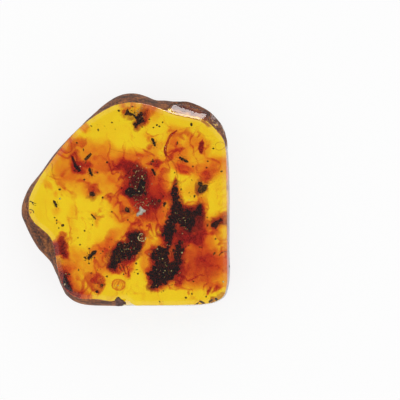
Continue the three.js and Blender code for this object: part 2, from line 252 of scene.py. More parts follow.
@dataclass(frozen=True)
class AmberFinish:
    """Fossil resin, ground and polished on its faces, with its brown natural skin left on the sides.

    The polished resin is clear and glossy. The skin is weathered, crumbly on the outside and
    half dull, in browns that change from one patch to the next.
    """

    ior: float = 1.54
    absorption_per_mm: tuple[float, float, float] = (0.0, 0.029, 0.5)
    polish_roughness: float = 0.03
    skin_roughness: float = 0.8
    skin_clearness: float = 0.12
    skin_dark: str = "#170a04"
    skin_brown: str = "#6b3614"
    skin_light: str = "#b06a30"
    patch_size_mm: float = 2.2
    streak_length_mm: float = 3.5
    streak_width_mm: float = 0.45
    streak_share: float = 0.4
    speckle_size_mm: float = 0.4
    speckle_share: float = 0.4
    grain_size_mm: float = 0.25
    grain_depth_mm: float = 0.04
    full_brown_at: float = 0.15

    def build(self) -> Material:
        """Makes the material, which reads how much skin each place has from the attribute "skin".

        Returns:
            The finished material.
        """
        material, tree, output = new_material("polished_amber_with_skin")
        skin = add_node(tree, "ShaderNodeAttribute", attribute_name="skin").outputs["Fac"]
        girth = add_node(tree, "ShaderNodeAttribute", attribute_name="girth").outputs["Fac"]
        place = add_node(tree, "ShaderNodeTexCoord").outputs["Object"]
        height = add_node(tree, "ShaderNodeSeparateXYZ", {"Vector": place}).outputs["Z"]
        streak_x = add_node(tree, "ShaderNodeMath", {0: girth, 1: 1 / self.streak_length_mm},
                            operation="MULTIPLY")
        streak_y = add_node(tree, "ShaderNodeMath", {0: height, 1: 1 / (self.streak_width_mm * MM)},
                            operation="MULTIPLY")
        streak_place = add_node(tree, "ShaderNodeCombineXYZ", {
            0: streak_x.outputs[0], 1: streak_y.outputs[0]})
        streaks = add_node(tree, "ShaderNodeTexNoise", {
            "Vector": streak_place.outputs[0], "Scale": 1.0, "Detail": 4.0, "Roughness": 0.65})
        patches = add_node(tree, "ShaderNodeTexNoise", {
            "Vector": place, "Scale": 1 / (self.patch_size_mm * MM), "Detail": 4.0, "Roughness": 0.6})
        speckle = add_node(tree, "ShaderNodeTexNoise", {
            "Vector": place, "Scale": 1 / (self.speckle_size_mm * MM), "Detail": 2.0, "Roughness": 0.8})
        both = add_node(tree, "ShaderNodeMix", {
            0: self.streak_share, 2: patches.outputs["Fac"], 3: streaks.outputs["Fac"]})
        mottled = add_node(tree, "ShaderNodeMix", {
            0: self.speckle_share, 2: both.outputs[0], 3: speckle.outputs["Fac"]})
        browns = add_node(tree, "ShaderNodeValToRGB", {"Fac": mottled.outputs[0]})
        stops = browns.color_ramp.elements
        stops[0].position, stops[0].color = 0.42, linear(self.skin_dark)
        stops[1].position, stops[1].color = 0.6, linear(self.skin_light)
        stops.new(0.5).color = linear(self.skin_brown)
        browned = add_node(tree, "ShaderNodeMapRange", {"Value": skin, "From Max": self.full_brown_at})
        colour = add_node(tree, "ShaderNodeMix", {
            "Factor": browned.outputs[0], "A": (1, 1, 1, 1), "B": browns.outputs["Color"]}, data_type="RGBA")
        grain = add_node(tree, "ShaderNodeTexNoise", {
            "Vector": place, "Scale": 1 / (self.grain_size_mm * MM), "Detail": 3.0})
        bump = add_node(tree, "ShaderNodeBump", {
            "Height": grain.outputs["Fac"], "Strength": skin, "Distance": self.grain_depth_mm * MM})
        roughness = add_node(tree, "ShaderNodeMapRange", {
            "Value": skin, "To Min": self.polish_roughness, "To Max": self.skin_roughness})
        clearness = add_node(tree, "ShaderNodeMapRange", {
            "Value": skin, "To Min": 1.0, "To Max": self.skin_clearness})
        shader = add_node(tree, "ShaderNodeBsdfPrincipled", {
            "Base Color": colour.outputs[2], "Roughness": roughness.outputs[0], "IOR": self.ior,
            "Transmission Weight": clearness.outputs[0], "Normal": bump.outputs[0]})
        tree.links.new(shader.outputs[0], output.inputs["Surface"])
        add_absorption(tree, output, self.absorption_per_mm)
        return material


@dataclass(frozen=True)
class StainFinish:
    """Something soaked in resin, such as stained amber, red bark or a wing: clear, and coloured all through.

    It bends no light where it meets the amber round it, so only its colour shows, deeper where it is thicker.
    """

    name: str
    absorption_per_mm: tuple[float, float, float]

    def build(self) -> Material:
        """Makes the material: no surface of its own, and plain absorption inside.

        Returns:
            The finished material.
        """
        material, tree, output = new_material(self.name)
        shader = add_node(tree, "ShaderNodeBsdfPrincipled", {
            "Base Color": (1, 1, 1, 1), "Roughness": 0.0, "IOR": 1.0, "Transmission Weight": 1.0})
        tree.links.new(shader.outputs[0], output.inputs["Surface"])
        add_absorption(tree, output, self.absorption_per_mm)
        return material


@dataclass(frozen=True)
class CrumbFinish:
    """Dry, crumbly tissue such as bark dust or mould: matt, mottled and pitted."""

    name: str
    dark: str
    light: str
    roughness: float = 0.8
    mottle_size_mm: float = 0.5
    bump_mm: float = 0.03

    def build(self) -> Material:
        """Makes the material from two mixed colours, mottled at the size of the crumbs.

        Returns:
            The finished material.
        """
        material, tree, output = new_material(self.name)
        place = add_node(tree, "ShaderNodeTexCoord").outputs["Object"]
        mottle = add_node(tree, "ShaderNodeTexNoise", {
            "Vector": place, "Scale": 1 / (self.mottle_size_mm * MM), "Detail": 5.0, "Roughness": 0.7})
        colours = add_node(tree, "ShaderNodeValToRGB", {"Fac": mottle.outputs["Fac"]})
        stops = colours.color_ramp.elements
        stops[0].position, stops[0].color = 0.4, linear(self.dark)
        stops[1].position, stops[1].color = 0.72, linear(self.light)
        bump = add_node(tree, "ShaderNodeBump", {
            "Height": mottle.outputs["Fac"], "Strength": 0.6, "Distance": self.bump_mm * MM})
        shader = add_node(tree, "ShaderNodeBsdfPrincipled", {
            "Base Color": colours.outputs["Color"], "Roughness": self.roughness,
            "Normal": bump.outputs[0]})
        tree.links.new(shader.outputs[0], output.inputs["Surface"])
        return material


# fossil resin: clear yellow, deeper where it is thicker, with a dull brown skin
AMBER = AmberFinish()
# a wing's thin cuticle, which shows as a faint smoky veil
WING = StainFinish("wing_membrane", (4.0, 7.0, 9.0))
# resin stained by the sap of bark: glowing orange, then red, then red-brown
ORANGE_STAIN = StainFinish("orange_stained_amber", (0.12, 0.88, 2.2))
RED_STAIN = StainFinish("red_stained_amber", (0.8, 3.1, 3.3))
BROWN_STAIN = StainFinish("brown_stained_amber", (1.7, 3.2, 3.4))
# thin bark that let the resin through: dark red, and see-through at its edges
RED_BARK = StainFinish("resin_soaked_red_bark", (2.4, 7.5, 7.0))
# rotten bark: matt and near black, with paler crumbs
BARK = CrumbFinish("dark_bark_debris", "#3f2b27", "#94695d", mottle_size_mm=0.7, bump_mm=0.06)
# an insect's hard cuticle: dark brown with a dull gloss
CHITIN = CrumbFinish("insect_cuticle", "#140a06", "#3f1f10", roughness=0.35, mottle_size_mm=0.3)
# a film of mould: chalky and nearly white; the same white also paints a few highlights among the pale flecks
MOULD = CrumbFinish("pale_mould", "#e9e4ea", "#ffffff", roughness=0.9, mottle_size_mm=0.3)


# The slab

@dataclass
class SlabShape:
    """Outer form of the slab, measured on its two CAD halves.

    Attributes:
        hub: A point inside the outline, from which every part of it can be seen.
        girdle_height: Height at which the slab is widest.
        shoulder_height: Height of the edge of the polished front face.
        directions: How many directions from the hub are measured.
        far: Distance from which they are measured.
        pit: How deep a notch one direction wide is before it counts as a pit.
    """

    hub: Place = (1.0, -2.0)
    girdle_height: float = 4.6
    shoulder_height: float = 9.55
    directions: int = 72
    far: float = 40.0
    pit: float = 0.3
    girdle: Array = field(init=False)
    front: Array = field(init=False)
    back: Array = field(init=False)
    thickness: float = field(init=False)

    def __post_init__(self) -> None:
        """Measures the three outlines that the side runs through."""
        tree = self._surface()
        self.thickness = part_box(FRONT_NODE)[1].z / MM
        self.girdle = self._outline(tree, self.girdle_height)
        self.front = self._outline(tree, self.shoulder_height - 0.001)
        self.back = self._outline(tree, 0.01)

    def _surface(self) -> BVHTree:
        """Joins both CAD halves into one surface that rays can hit.

        Returns:
            The tree of its faces, in millimetres.
        """
        vertices: list[Vector] = []
        faces: list[list[int]] = []
        for name in (FRONT_NODE, BACK_NODE):
            mesh = frame["nodes"][name].data
            start = len(vertices)
            vertices += [v.co / MM for v in mesh.vertices]
            faces += [[start + i for i in p.vertices] for p in mesh.polygons]
        return BVHTree.FromPolygons(vertices, faces)

    def _outline(self, tree: BVHTree, height: float) -> Array:
        """Measures how far the surface is from the hub in each direction, and bridges pits in its edge.

        Args:
            tree: The surface to measure.
            height: Height of the cut, in millimetres.

        Returns:
            One radius for each direction.
        """
        radii = []
        for angle in self.angles(self.directions):
            way = Vector((math.cos(angle), math.sin(angle), 0.0))
            start = Vector((*self.hub, height)) + self.far * way
            distance = tree.ray_cast(start, -way)[3]
            radii.append(self.far - distance)
        measured = np.array(radii)
        between = (np.roll(measured, 1) + np.roll(measured, -1)) / 2
        return np.where(between - measured > self.pit, between, measured)

    @staticmethod
    def angles(count: int) -> Array:
        """Returns evenly spaced directions, which start where the CAD model's do."""
        return -math.pi + 2 * math.pi * (np.arange(count) + 0.5) / count

    def radius(self, outline: Array, angles: Array) -> Array:
        """Reads an outline between the measured directions, on a smooth curve through them.

        Args:
            outline: Radii in the measured directions.
            angles: Directions to read, in radians.

        Returns:
            One radius for each angle.
        """
        count = self.directions
        place = (np.asarray(angles) + math.pi) / (2 * math.pi) * count - 0.5
        first = np.floor(place).astype(int)
        t = place - first
        p0, p1, p2, p3 = (outline[(first + step) % count] for step in (-1, 0, 1, 2))
        return 0.5 * (2 * p1 + (p2 - p0) * t + (2 * p0 - 5 * p1 + 4 * p2 - p3) * t ** 2
                      + (3 * p1 - p0 - 3 * p2 + p3) * t ** 3)

    def room(self, places: Array, height: float) -> Array:
        """Tells how deep inside the slab each place is.

        Args:
            places: One row of x and y for each place.
            height: Height of all of them.

        Returns:
            Millimetres to the edge along the line from the hub, negative outside.
        """
        across = places - np.array(self.hub)
        angles = np.arctan2(across[:, 1], across[:, 0])
        up = min(max((height - self.girdle_height) / (self.shoulder_height - self.girdle_height), 0.0), 1.0)
        outline = self.girdle + (self.front - self.girdle) * up ** 2
        return self.radius(outline, angles) - np.hypot(across[:, 0], across[:, 1])


@dataclass(frozen=True)
class Facet:
    """A flat ground at the edge of the front face: its middle direction, width and tilts in degrees."""

    direction: float = 59.5
    spread: float = 9.5
    inner_tilt: float = 21.0
    outer_tilt: float = 33.0
    width_mm: float = 1.5
    fullness: float = 6.0

    def share(self, angles: Array) -> Array:
        """Returns how much of the facet each direction has, from 0 to 1 with soft ends."""
        off = np.abs(np.degrees(angles) - self.direction)
        return np.clip((self.spread - off) / 3.0 + 0.5, 0, 1)

    def drop(self, out: Array) -> Array:
        """Returns how far the facet has sunk at a distance out from the front face's edge."""
        inner, outer = (math.tan(math.radians(tilt)) for tilt in (self.inner_tilt, self.outer_tilt))
        return inner * out + (outer - inner) * out ** 2 / (2 * self.width_mm)


@dataclass
class ClearSlab:
    """The whole slab of amber as one fine mesh, with its skin, its polished faces and its facet.

    Attributes:
        shape: Outer form that the mesh follows.
        facet: Flat at the upper right of the front face.
        columns: Vertices round the slab.
        side_rows: Rows of vertices from the girdle to each face.
        face_shares: Rows across each face, as shares of the way out from the hub.
        skin_lumps: How far the skin swells and dips.
        sawn_from, sawn_to: Directions, in degrees, between which the side is sawn and polished.
        skin_top: How far up the side the skin reaches, as a share of the way to the face.
        facet_bare: How much lower it ends at the facet.
        dome_share, dome_radius: How much of the front face's rise is spread over its whole width.
        edge_power: How sharply the front face is rounded over at its edge.
        worn_from, worn_to: Directions between which the skin is worn through in spots.
        mean_radius: Turns a direction into millimetres along the side, for the skin's streaks.
    """

    shape: SlabShape
    facet: Facet = Facet()
    columns: int = 540
    side_rows: int = 26
    face_shares: tuple[float, ...] = (
        0.997, 0.993, 0.988, 0.982, 0.975, 0.965, 0.953, 0.94, 0.925, 0.91, 0.89, 0.87, 0.85, 0.82, 0.78,
        0.73, 0.66, 0.57, 0.46, 0.33, 0.18)
    skin_lumps: float = 0.14
    skin_top: float = 0.985
    facet_bare: float = 0.13
    dome_share: float = 0.15
    dome_radius: float = 22.0
    edge_power: float = 26.0
    sawn_from: float = -96.5
    sawn_to: float = 34.0
    worn_from: float = 34.0
    worn_to: float = 52.0
    mean_radius: float = 18.0

    def _side(self, edge: Array, height: float, share: float) -> tuple[Array, Array, Array]:
        """Places one row of the side.

        Args:
            edge: Outline of the face that the side ends at.
            height: Height of that face's edge.
            share: How far up the row is, from 0 at the girdle to 1 at the face.

        Returns:
            The row's radii, its heights and its share once for each place.
        """
        shape = self.shape
        angles = shape.angles(self.columns)
        t = 1 - (1 - share) ** 1.3
        power = np.full(self.columns, 2.0)
        in_front = height > shape.girdle_height
        if in_front:
            power += self.facet.fullness * self.facet.share(angles)
        girdle, face = shape.radius(shape.girdle, angles), shape.radius(edge, angles)
        radii = girdle + (face - girdle) * t ** power
        heights = np.full(self.columns, shape.girdle_height + (height - shape.girdle_height) * t)
        if in_front:
            ground = height - self.facet.drop(np.maximum(radii - face, 0))
            cut = np.minimum(heights, ground)
            heights += (cut - heights) * self.facet.share(angles)
        return radii, heights, np.full(self.columns, t)

    def _rows(self) -> tuple[list[Array], list[Array], list[Array]]:
        """Places every row from the middle of the back face to the middle of the front face.

        Returns:
            Distance from the hub, height and way up the side (2 on a face), a row of each at a time.
        """
        shape = self.shape
        back = shape.radius(shape.back, shape.angles(self.columns))
        rows = [(back * share, np.zeros(self.columns), np.full(self.columns, 2.0))
                for share in sorted(self.face_shares)]
        steps = np.arange(self.side_rows + 1) / self.side_rows
        rows += [self._side(shape.back, 0.0, step) for step in steps[:0:-1]]
        rows += [self._side(shape.front, shape.shoulder_height, step) for step in steps]
        front = shape.radius(shape.front, shape.angles(self.columns))
        rise = shape.thickness - shape.shoulder_height
        for share in self.face_shares:
            dome = 1 - self.dome_share * (front * share / self.dome_radius) ** 2
            lift = (1 - share ** self.edge_power) * dome
            rows.append((front * share, shape.shoulder_height + rise * lift, np.full(self.columns, 2.0)))
        return tuple(map(list, zip(*rows)))

    def _skinned(self, angles: Array) -> Array:
        """Tells how much natural skin the side has, which is none where it is sawn.

        Args:
            angles: The directions, in radians.

        Returns:
            Share of skin, from 0 to 1.
        """
        degrees = np.degrees(angles)
        sawn = np.minimum(degrees - self.sawn_from, self.sawn_to - degrees)
        return 1 - np.clip(sawn / 3 + 0.5, 0, 1)

    def _cover(self, place: Array, t: Array, angles: Array, in_front: bool) -> Array:
        """Tells how much skin each place of one row has.

        Args:
            place: The row's places from the hub.
            t: How far up the side the row is, and 2 on a face.
            angles: The row's directions.
            in_front: Whether the row is above the girdle.

        Returns:
            Share of skin, from 0 to 1.
        """
        limit = self.skin_top + 0.025 * layered_noise(place, 0.8, 9)
        if in_front:
            limit = limit - self.facet_bare * self.facet.share(angles)
        cover = np.clip((limit - t) / 0.02, 0, 1) * self._skinned(angles)
        degrees = np.degrees(angles)
        worn = np.clip(np.minimum(degrees - self.worn_from, self.worn_to - degrees) / 3, 0, 1)
        spots = np.clip((layered_noise(place, 0.6, 31) - 0.22) / 0.08, 0, 1)
        return cover * (1 - worn * spots)

    def build(self) -> None:
        """Makes the slab, in place of its two CAD halves."""
        shape = self.shape
        radii, heights, shares = self._rows()
        angles = shape.angles(self.columns)
        skinned = self._skinned(angles)
        points, skin = [], []
        for row, (row_radii, row_heights, t) in enumerate(zip(radii, heights, shares)):
            in_front = row >= len(self.face_shares) + self.side_rows
            place = np.stack([row_radii * np.cos(angles), row_radii * np.sin(angles), row_heights], axis=1)
            relief = np.sin(np.pi * np.clip(t, 0, 1)) * skinned
            lumps = 0.7 * layered_noise(place, 2.6, 5) + 0.3 * layered_noise(place, 0.7, 6)
            out = row_radii + self.skin_lumps * lumps * relief
            points.append(np.stack([shape.hub[0] + out * np.cos(angles),
                                    shape.hub[1] + out * np.sin(angles), row_heights], axis=1))
            skin.append(self._cover(place, t, angles, in_front))
        vertices = np.concatenate([*points, [[*shape.hub, 0.0], [*shape.hub, shape.thickness]]])
        box = np.abs(np.array([corner[:2] for corner in CAD_BOX]) / MM).min(axis=0)
        vertices[:, :2] *= np.minimum(1, box / np.abs(vertices[:, :2]).max(axis=0))
        piece = new_piece("clear_amber", vertices, self._faces(len(points)))
        girth = np.tile(angles * self.mean_radius, len(points))
        point_attribute(piece, "skin", np.concatenate([*skin, [0.0, 0.0]]))
        point_attribute(piece, "girth", np.concatenate([girth, [0.0, 0.0]]))
        dress(piece, AMBER.build(), (FRONT_NODE, BACK_NODE))

    def _faces(self, row_count: int) -> list[tuple[int, ...]]:
        """Joins the rows of vertices, which end at the middle of each face.

        Args:
            row_count: How many rows there are.

        Returns:
            Vertex numbers of each face.
        """
        columns = self.columns
        back_middle = row_count * columns
        last = (row_count - 1) * columns
        faces: list[tuple[int, ...]] = []
        for i in range(columns):
            after = (i + 1) % columns
            faces.append((back_middle, after, i))
            faces.append((back_middle + 1, last + i, last + after))
            for start in range(0, last, columns):
                faces.append((start + i, start + after, start + columns + after, start + columns + i))
        return faces


# Stains and debris, as closed lens-like pieces between the slab's faces

@dataclass(frozen=True)
class Blot:
    """One soft patch, seen from the front: its place, half sizes, turn in degrees and depth."""

    x: float
    y: float
    length: float
    width: float
    turn: float
    depth: float

    def bounds(self) -> tuple[Place, Place]:
        """Draws a box round all that the patch reaches.

        Returns:
            Its lower left and upper right corners.
        """
        far = 2.2 * max(self.length, self.width)
        return (self.x - far, self.y - far), (self.x + far, self.y + far)

    def reach(self, places: Array) -> Array:
        """Tells how thick this patch is at each place.

        Args:
            places: One row of x and y for each place.

        Returns:
            Millimetres at each place.
        """
        angle = math.radians(self.turn)
        across = places - np.array([self.x, self.y])
        along = across[:, 0] * math.cos(angle) + across[:, 1] * math.sin(angle)
        aside = across[:, 1] * math.cos(angle) - across[:, 0] * math.sin(angle)
        spread = (along / self.length) ** 2 + (aside / self.width) ** 2
        return self.depth * np.exp(-spread ** 1.4)


@dataclass(frozen=True)
class Patch:
    """One patch with a drawn outline: its corners, the width of its soft edge and its depth."""

    corners: tuple[Place, ...]
    soft: float
    depth: float

    def bounds(self) -> tuple[Place, Place]:
        """Draws a box round all that the patch reaches.

        Returns:
            Its lower left and upper right corners.
        """
        far = self.soft + 1.0
        xs, ys = zip(*self.corners)
        return (min(xs) - far, min(ys) - far), (max(xs) + far, max(ys) + far)

    def inside(self, places: Array) -> Array:
        """Measures how far each place is from the outline.

        Args:
            places: One row of x and y for each place.

        Returns:
            Millimetres, positive inside and negative outside.
        """
        corners = np.array(self.corners)
        nearest = np.full(len(places), np.inf)
        crossings = np.zeros(len(places), dtype=bool)
        for start, end in zip(corners, np.roll(corners, -1, axis=0)):
            side = end - start
            share = np.clip((places - start) @ side / (side @ side), 0, 1)
            nearest = np.minimum(nearest, np.linalg.norm(places - start - share[:, None] * side, axis=1))
            spans = (start[1] > places[:, 1]) != (end[1] > places[:, 1])
            rise = side[1] if side[1] else 1.0
            left = places[:, 0] < side[0] * (places[:, 1] - start[1]) / rise + start[0]
            crossings ^= spans & left
        return np.where(crossings, nearest, -nearest)

    def reach(self, places: Array) -> Array:
        """Tells how thick this patch is at each place.

        Args:
            places: One row of x and y for each place.

        Returns:
            Millimetres at each place.
        """
        share = np.clip(self.inside(places) / self.soft + 0.5, 0, 1)
        return self.depth * share * share * (3 - 2 * share)


@dataclass
class Lens:
    """A closed piece as thick at each place as its parts add up to, with a wandering, mottled edge.

    Attributes:
        name: The piece's name.
        shape: The slab that it has to stay in.
        material: What it is made of.
        slot: Its slot in the record; not used.
        height: Middle of the piece, above the slab's back face.
        parts: Blots and patches that add up to it.
        replaces: CAD nodes that it takes the place of.
        spacing: Distance between vertices.
        wander: How far its edges are pulled about, and by noise of what size.
        mottle: How uneven its thickness is, and by noise of what size, once for each kind of mottle.
        thinnest: Thickness that is taken off everywhere, so that it ends cleanly.
        deepest: Thickness that it nears but doesn't reach.
        sway: How far its middle rises and sinks.
        kept_in: Whether it is kept clear of the slab's edge.
        seed: Picks the unevenness.
        edge_rise: How far above its middle the slab's edge is measured.
        edge_gap, edge_fade: How far from that edge it ends, and over what width it thins out.
    """

    name: str
    shape: SlabShape
    material: Material
    slot: Slot
    height: float
    parts: tuple[Blot | Patch, ...]
    replaces: tuple[str, ...] = ()
    spacing: float = 0.2
    wander: tuple[float, float] = (0.55, 2.2)
    mottle: tuple[tuple[float, float], ...] = ((0.6, 1.6), (0.4, 0.6))
    thinnest: float = 0.03
    deepest: float = 3.2
    sway: float = 0.35
    kept_in: bool = True
    seed: int = 1
    edge_rise: float = 1.2
    edge_gap: float = 0.2
    edge_fade: float = 0.5

    def _thickness(self, places: Array) -> Array:
        """Adds up the parts, pulled about and mottled by noise.

        Args:
            places: One row of x and y for each place.

        Returns:
            Thickness at each place, in millimetres, and below zero outside.
        """
        flat = np.column_stack([places, np.full(len(places), self.height)])
        reach, size = self.wander
        pull = np.column_stack([layered_noise(flat, size, self.seed + step, 5) for step in (20, 40)])
        total = sum(part.reach(places + reach * pull) for part in self.parts)
        pulled = flat + 0.5 * reach * np.pad(pull, ((0, 0), (0, 1)))
        for amount, grain in self.mottle:
            uneven = layered_noise(pulled, grain, self.seed + int(97 * grain), 4)
            total = total * np.exp(amount * uneven)
        total = self.deepest * (1 - np.exp(-np.maximum(total, 0) / self.deepest))
        if self.kept_in:
            room = self.shape.room(places, self.height + self.edge_rise)
            total = total * np.clip((room - self.edge_gap) / self.edge_fade, 0, 1)
        return total - self.thinnest

    def build(self) -> None:
        """Makes the piece on a grid, with vertices pulled onto its edge where it ends."""
        places, thickness, cells, shape = self._grid()
        outside = thickness <= 0
        slope_y, slope_x = np.gradient(thickness.reshape(shape), self.spacing)
        slope = np.column_stack([slope_x.ravel(), slope_y.ravel()])
        step = -thickness[:, None] * slope / np.maximum((slope ** 2).sum(axis=1), 1e-6)[:, None]
        length = np.maximum(np.linalg.norm(step, axis=1), 1e-9)[:, None]
        step *= np.minimum(1, 0.7 * self.spacing / length)
        places = places + np.where(outside[:, None], step, 0)
        used = np.unique(cells)
        flat = np.column_stack([places[used], np.zeros(len(used))])
        middle = self.height + self.sway * layered_noise(flat, 5.0, self.seed + 60)
        half = np.maximum(thickness[used], 0) / 2
        top_number = np.full(len(places), -1)
        top_number[used] = np.arange(len(used))
        inner = used[~outside[used]]
        bottom_number = top_number.copy()
        bottom_number[inner] = len(used) + np.arange(len(inner))
        top = np.column_stack([places[used], middle + half])
        bottom = np.column_stack([places[used], middle - half])[~outside[used]]
        faces = [tuple(face) for face in top_number[cells]]
        faces += [tuple(face[::-1]) for face in bottom_number[cells]]
        piece = new_piece(self.name, np.concatenate([top, bottom]), faces)
        dress(piece, self.material, self.replaces)

    def _grid(self) -> tuple[Array, Array, Array, tuple[int, int]]:
        """Lays the grid over the slab.

        Returns:
            Places, their thicknesses, the corners of each cell that has any thickness, and the
            number of rows and columns.
        """
        reaches = np.array([part.bounds() for part in self.parts])
        low, high = reaches[:, 0].min(axis=0), reaches[:, 1].max(axis=0)
        across, up = (np.arange(low[axis], high[axis], self.spacing) for axis in (0, 1))
        grid_x, grid_y = np.meshgrid(across, up)
        places = np.column_stack([grid_x.ravel(), grid_y.ravel()])
        thickness = self._thickness(places)
        rows, columns = grid_x.shape
        start = (np.arange(rows - 1)[:, None] * columns + np.arange(columns - 1)).ravel()
        cells = np.column_stack([start, start + 1, start + columns + 1, start + columns])
        return places, thickness, cells[(thickness[cells] > 0).any(axis=1)], (rows, columns)


@dataclass
class Wisps(Lens):
    """A lens broken up into thin curling veils, as the resin's flow drew them out.

    Attributes:
        fold: Width of the folds that the veils follow.
        veil: How wide a veil is, as a share of the noise's range.
        drawn: How far the folds are drawn out.
    """

    fold: float = 2.6
    veil: float = 0.16
    drawn: float = 2.2

    def _thickness(self, places: Array) -> Array:
        """Gives the lens's thickness along the veils, and below zero between them.

        Args:
            places: One row of x and y for each place.

        Returns:
            Millimetres at each place.
        """
        flat = np.column_stack([places, np.full(len(places), 3.0)])
        pull = np.column_stack([layered_noise(flat, 4.0, self.seed + step, 4) for step in (70, 80)])
        folded = flat + self.drawn * np.pad(pull, ((0, 0), (0, 1)))
        ridge = 1 - np.abs(layered_noise(folded, self.fold, self.seed + 90, 3)) / self.veil
        fade = np.clip(0.7 + 0.9 * layered_noise(flat, 3.0, self.seed + 95), 0, 1)
        whole = super()._thickness(places) + self.thinnest
        return whole * np.clip(ridge, 0, 1) * fade - self.thinnest


# Insects, each a body with limbs and a pair of wings

def tube(path: Array, radii: Array, sides: int = 7, flat: float = 1.0) -> Part:
    """Makes a closed, tapering tube along a path.

    Args:
        path: One row of x, y and z for each ring.
        radii: One radius for each ring.
        sides: Corners of each ring.
        flat: Height of the rings as a share of their width.

    Returns:
        Vertices and faces.
    """
    path = np.asarray(path, dtype=float)
    along = np.gradient(path, axis=0)
    along /= np.linalg.norm(along, axis=1)[:, None]
    up = np.array([0.0, 0.0, 1.0])
    aside = np.cross(along, up)
    aside /= np.maximum(np.linalg.norm(aside, axis=1), 1e-6)[:, None]
    over = np.cross(aside, along)
    turn = 2 * np.pi * np.arange(sides) / sides
    ring = (np.cos(turn)[None, :, None] * aside[:, None, :]
            + flat * np.sin(turn)[None, :, None] * over[:, None, :])
    rings = path[:, None, :] + np.asarray(radii)[:, None, None] * ring
    vertices = np.concatenate([rings.reshape(-1, 3), path[:1], path[-1:]])
    count = len(path)
    faces: list[tuple[int, ...]] = []
    for k in range(sides):
        after = (k + 1) % sides
        for start in range(0, (count - 1) * sides, sides):
            faces.append((start + k, start + sides + k, start + sides + after, start + after))
        faces.append((count * sides, k, after))
        last = (count - 1) * sides
        faces.append((count * sides + 1, last + after, last + k))
    return vertices, faces


def joined(parts: Iterable[Part]) -> Part:
    """Puts several closed parts into one list of vertices and one of faces.

    Args:
        parts: Vertices and faces of each part.

    Returns:
        Vertices and faces of all of them.
    """
    vertices: list[Array] = []
    faces: list[tuple[int, ...]] = []
    start = 0
    for points, corners in parts:
        vertices.append(points)
        faces += [tuple(start + i for i in face) for face in corners]
        start += len(points)
    return np.concatenate(vertices), faces


@dataclass(frozen=True)
class Anatomy:
    """Proportions of an insect, as shares of its length from the tail, and how its body is bent."""

    waist: float = 0.55
    thorax: float = 0.72
    neck: float = 0.8
    rings: int = 6
    bend: float = 0.06
    leg_length: float = 0.5
    antenna_length: float = 0.3
    wing_length: float = 0.62
    has_wings: bool = True
    # next to half the insect's width
    abdomen_girth: float = 1.3
    thorax_girth: float = 1.2
    head_girth: float = 0.95
    eye_girth: float = 0.28
    eye_spread: float = 0.62


# a leg's parts from the hip on: how far out, forth and up each one reaches, and its share of the leg
LEG_PARTS = ((0.35, 0.1, 0.5, 0.3), (0.75, 0.35, 0.9, 0.34), (0.25, 1.15, -0.7, 0.28), (0.2, 1.0, -0.4, 0.16))
# how far forward the hind, the middle and the fore legs lean
LEG_LEANS = (-0.75, -0.15, 0.55)
# a leg's thickness at rings along it, which is greatest at its joints
LEG_RINGS = (0, 4, 5, 8, 12, 16)
LEG_GIRTHS = (2.0, 1.3, 1.7, 1.0, 0.7, 0.4)


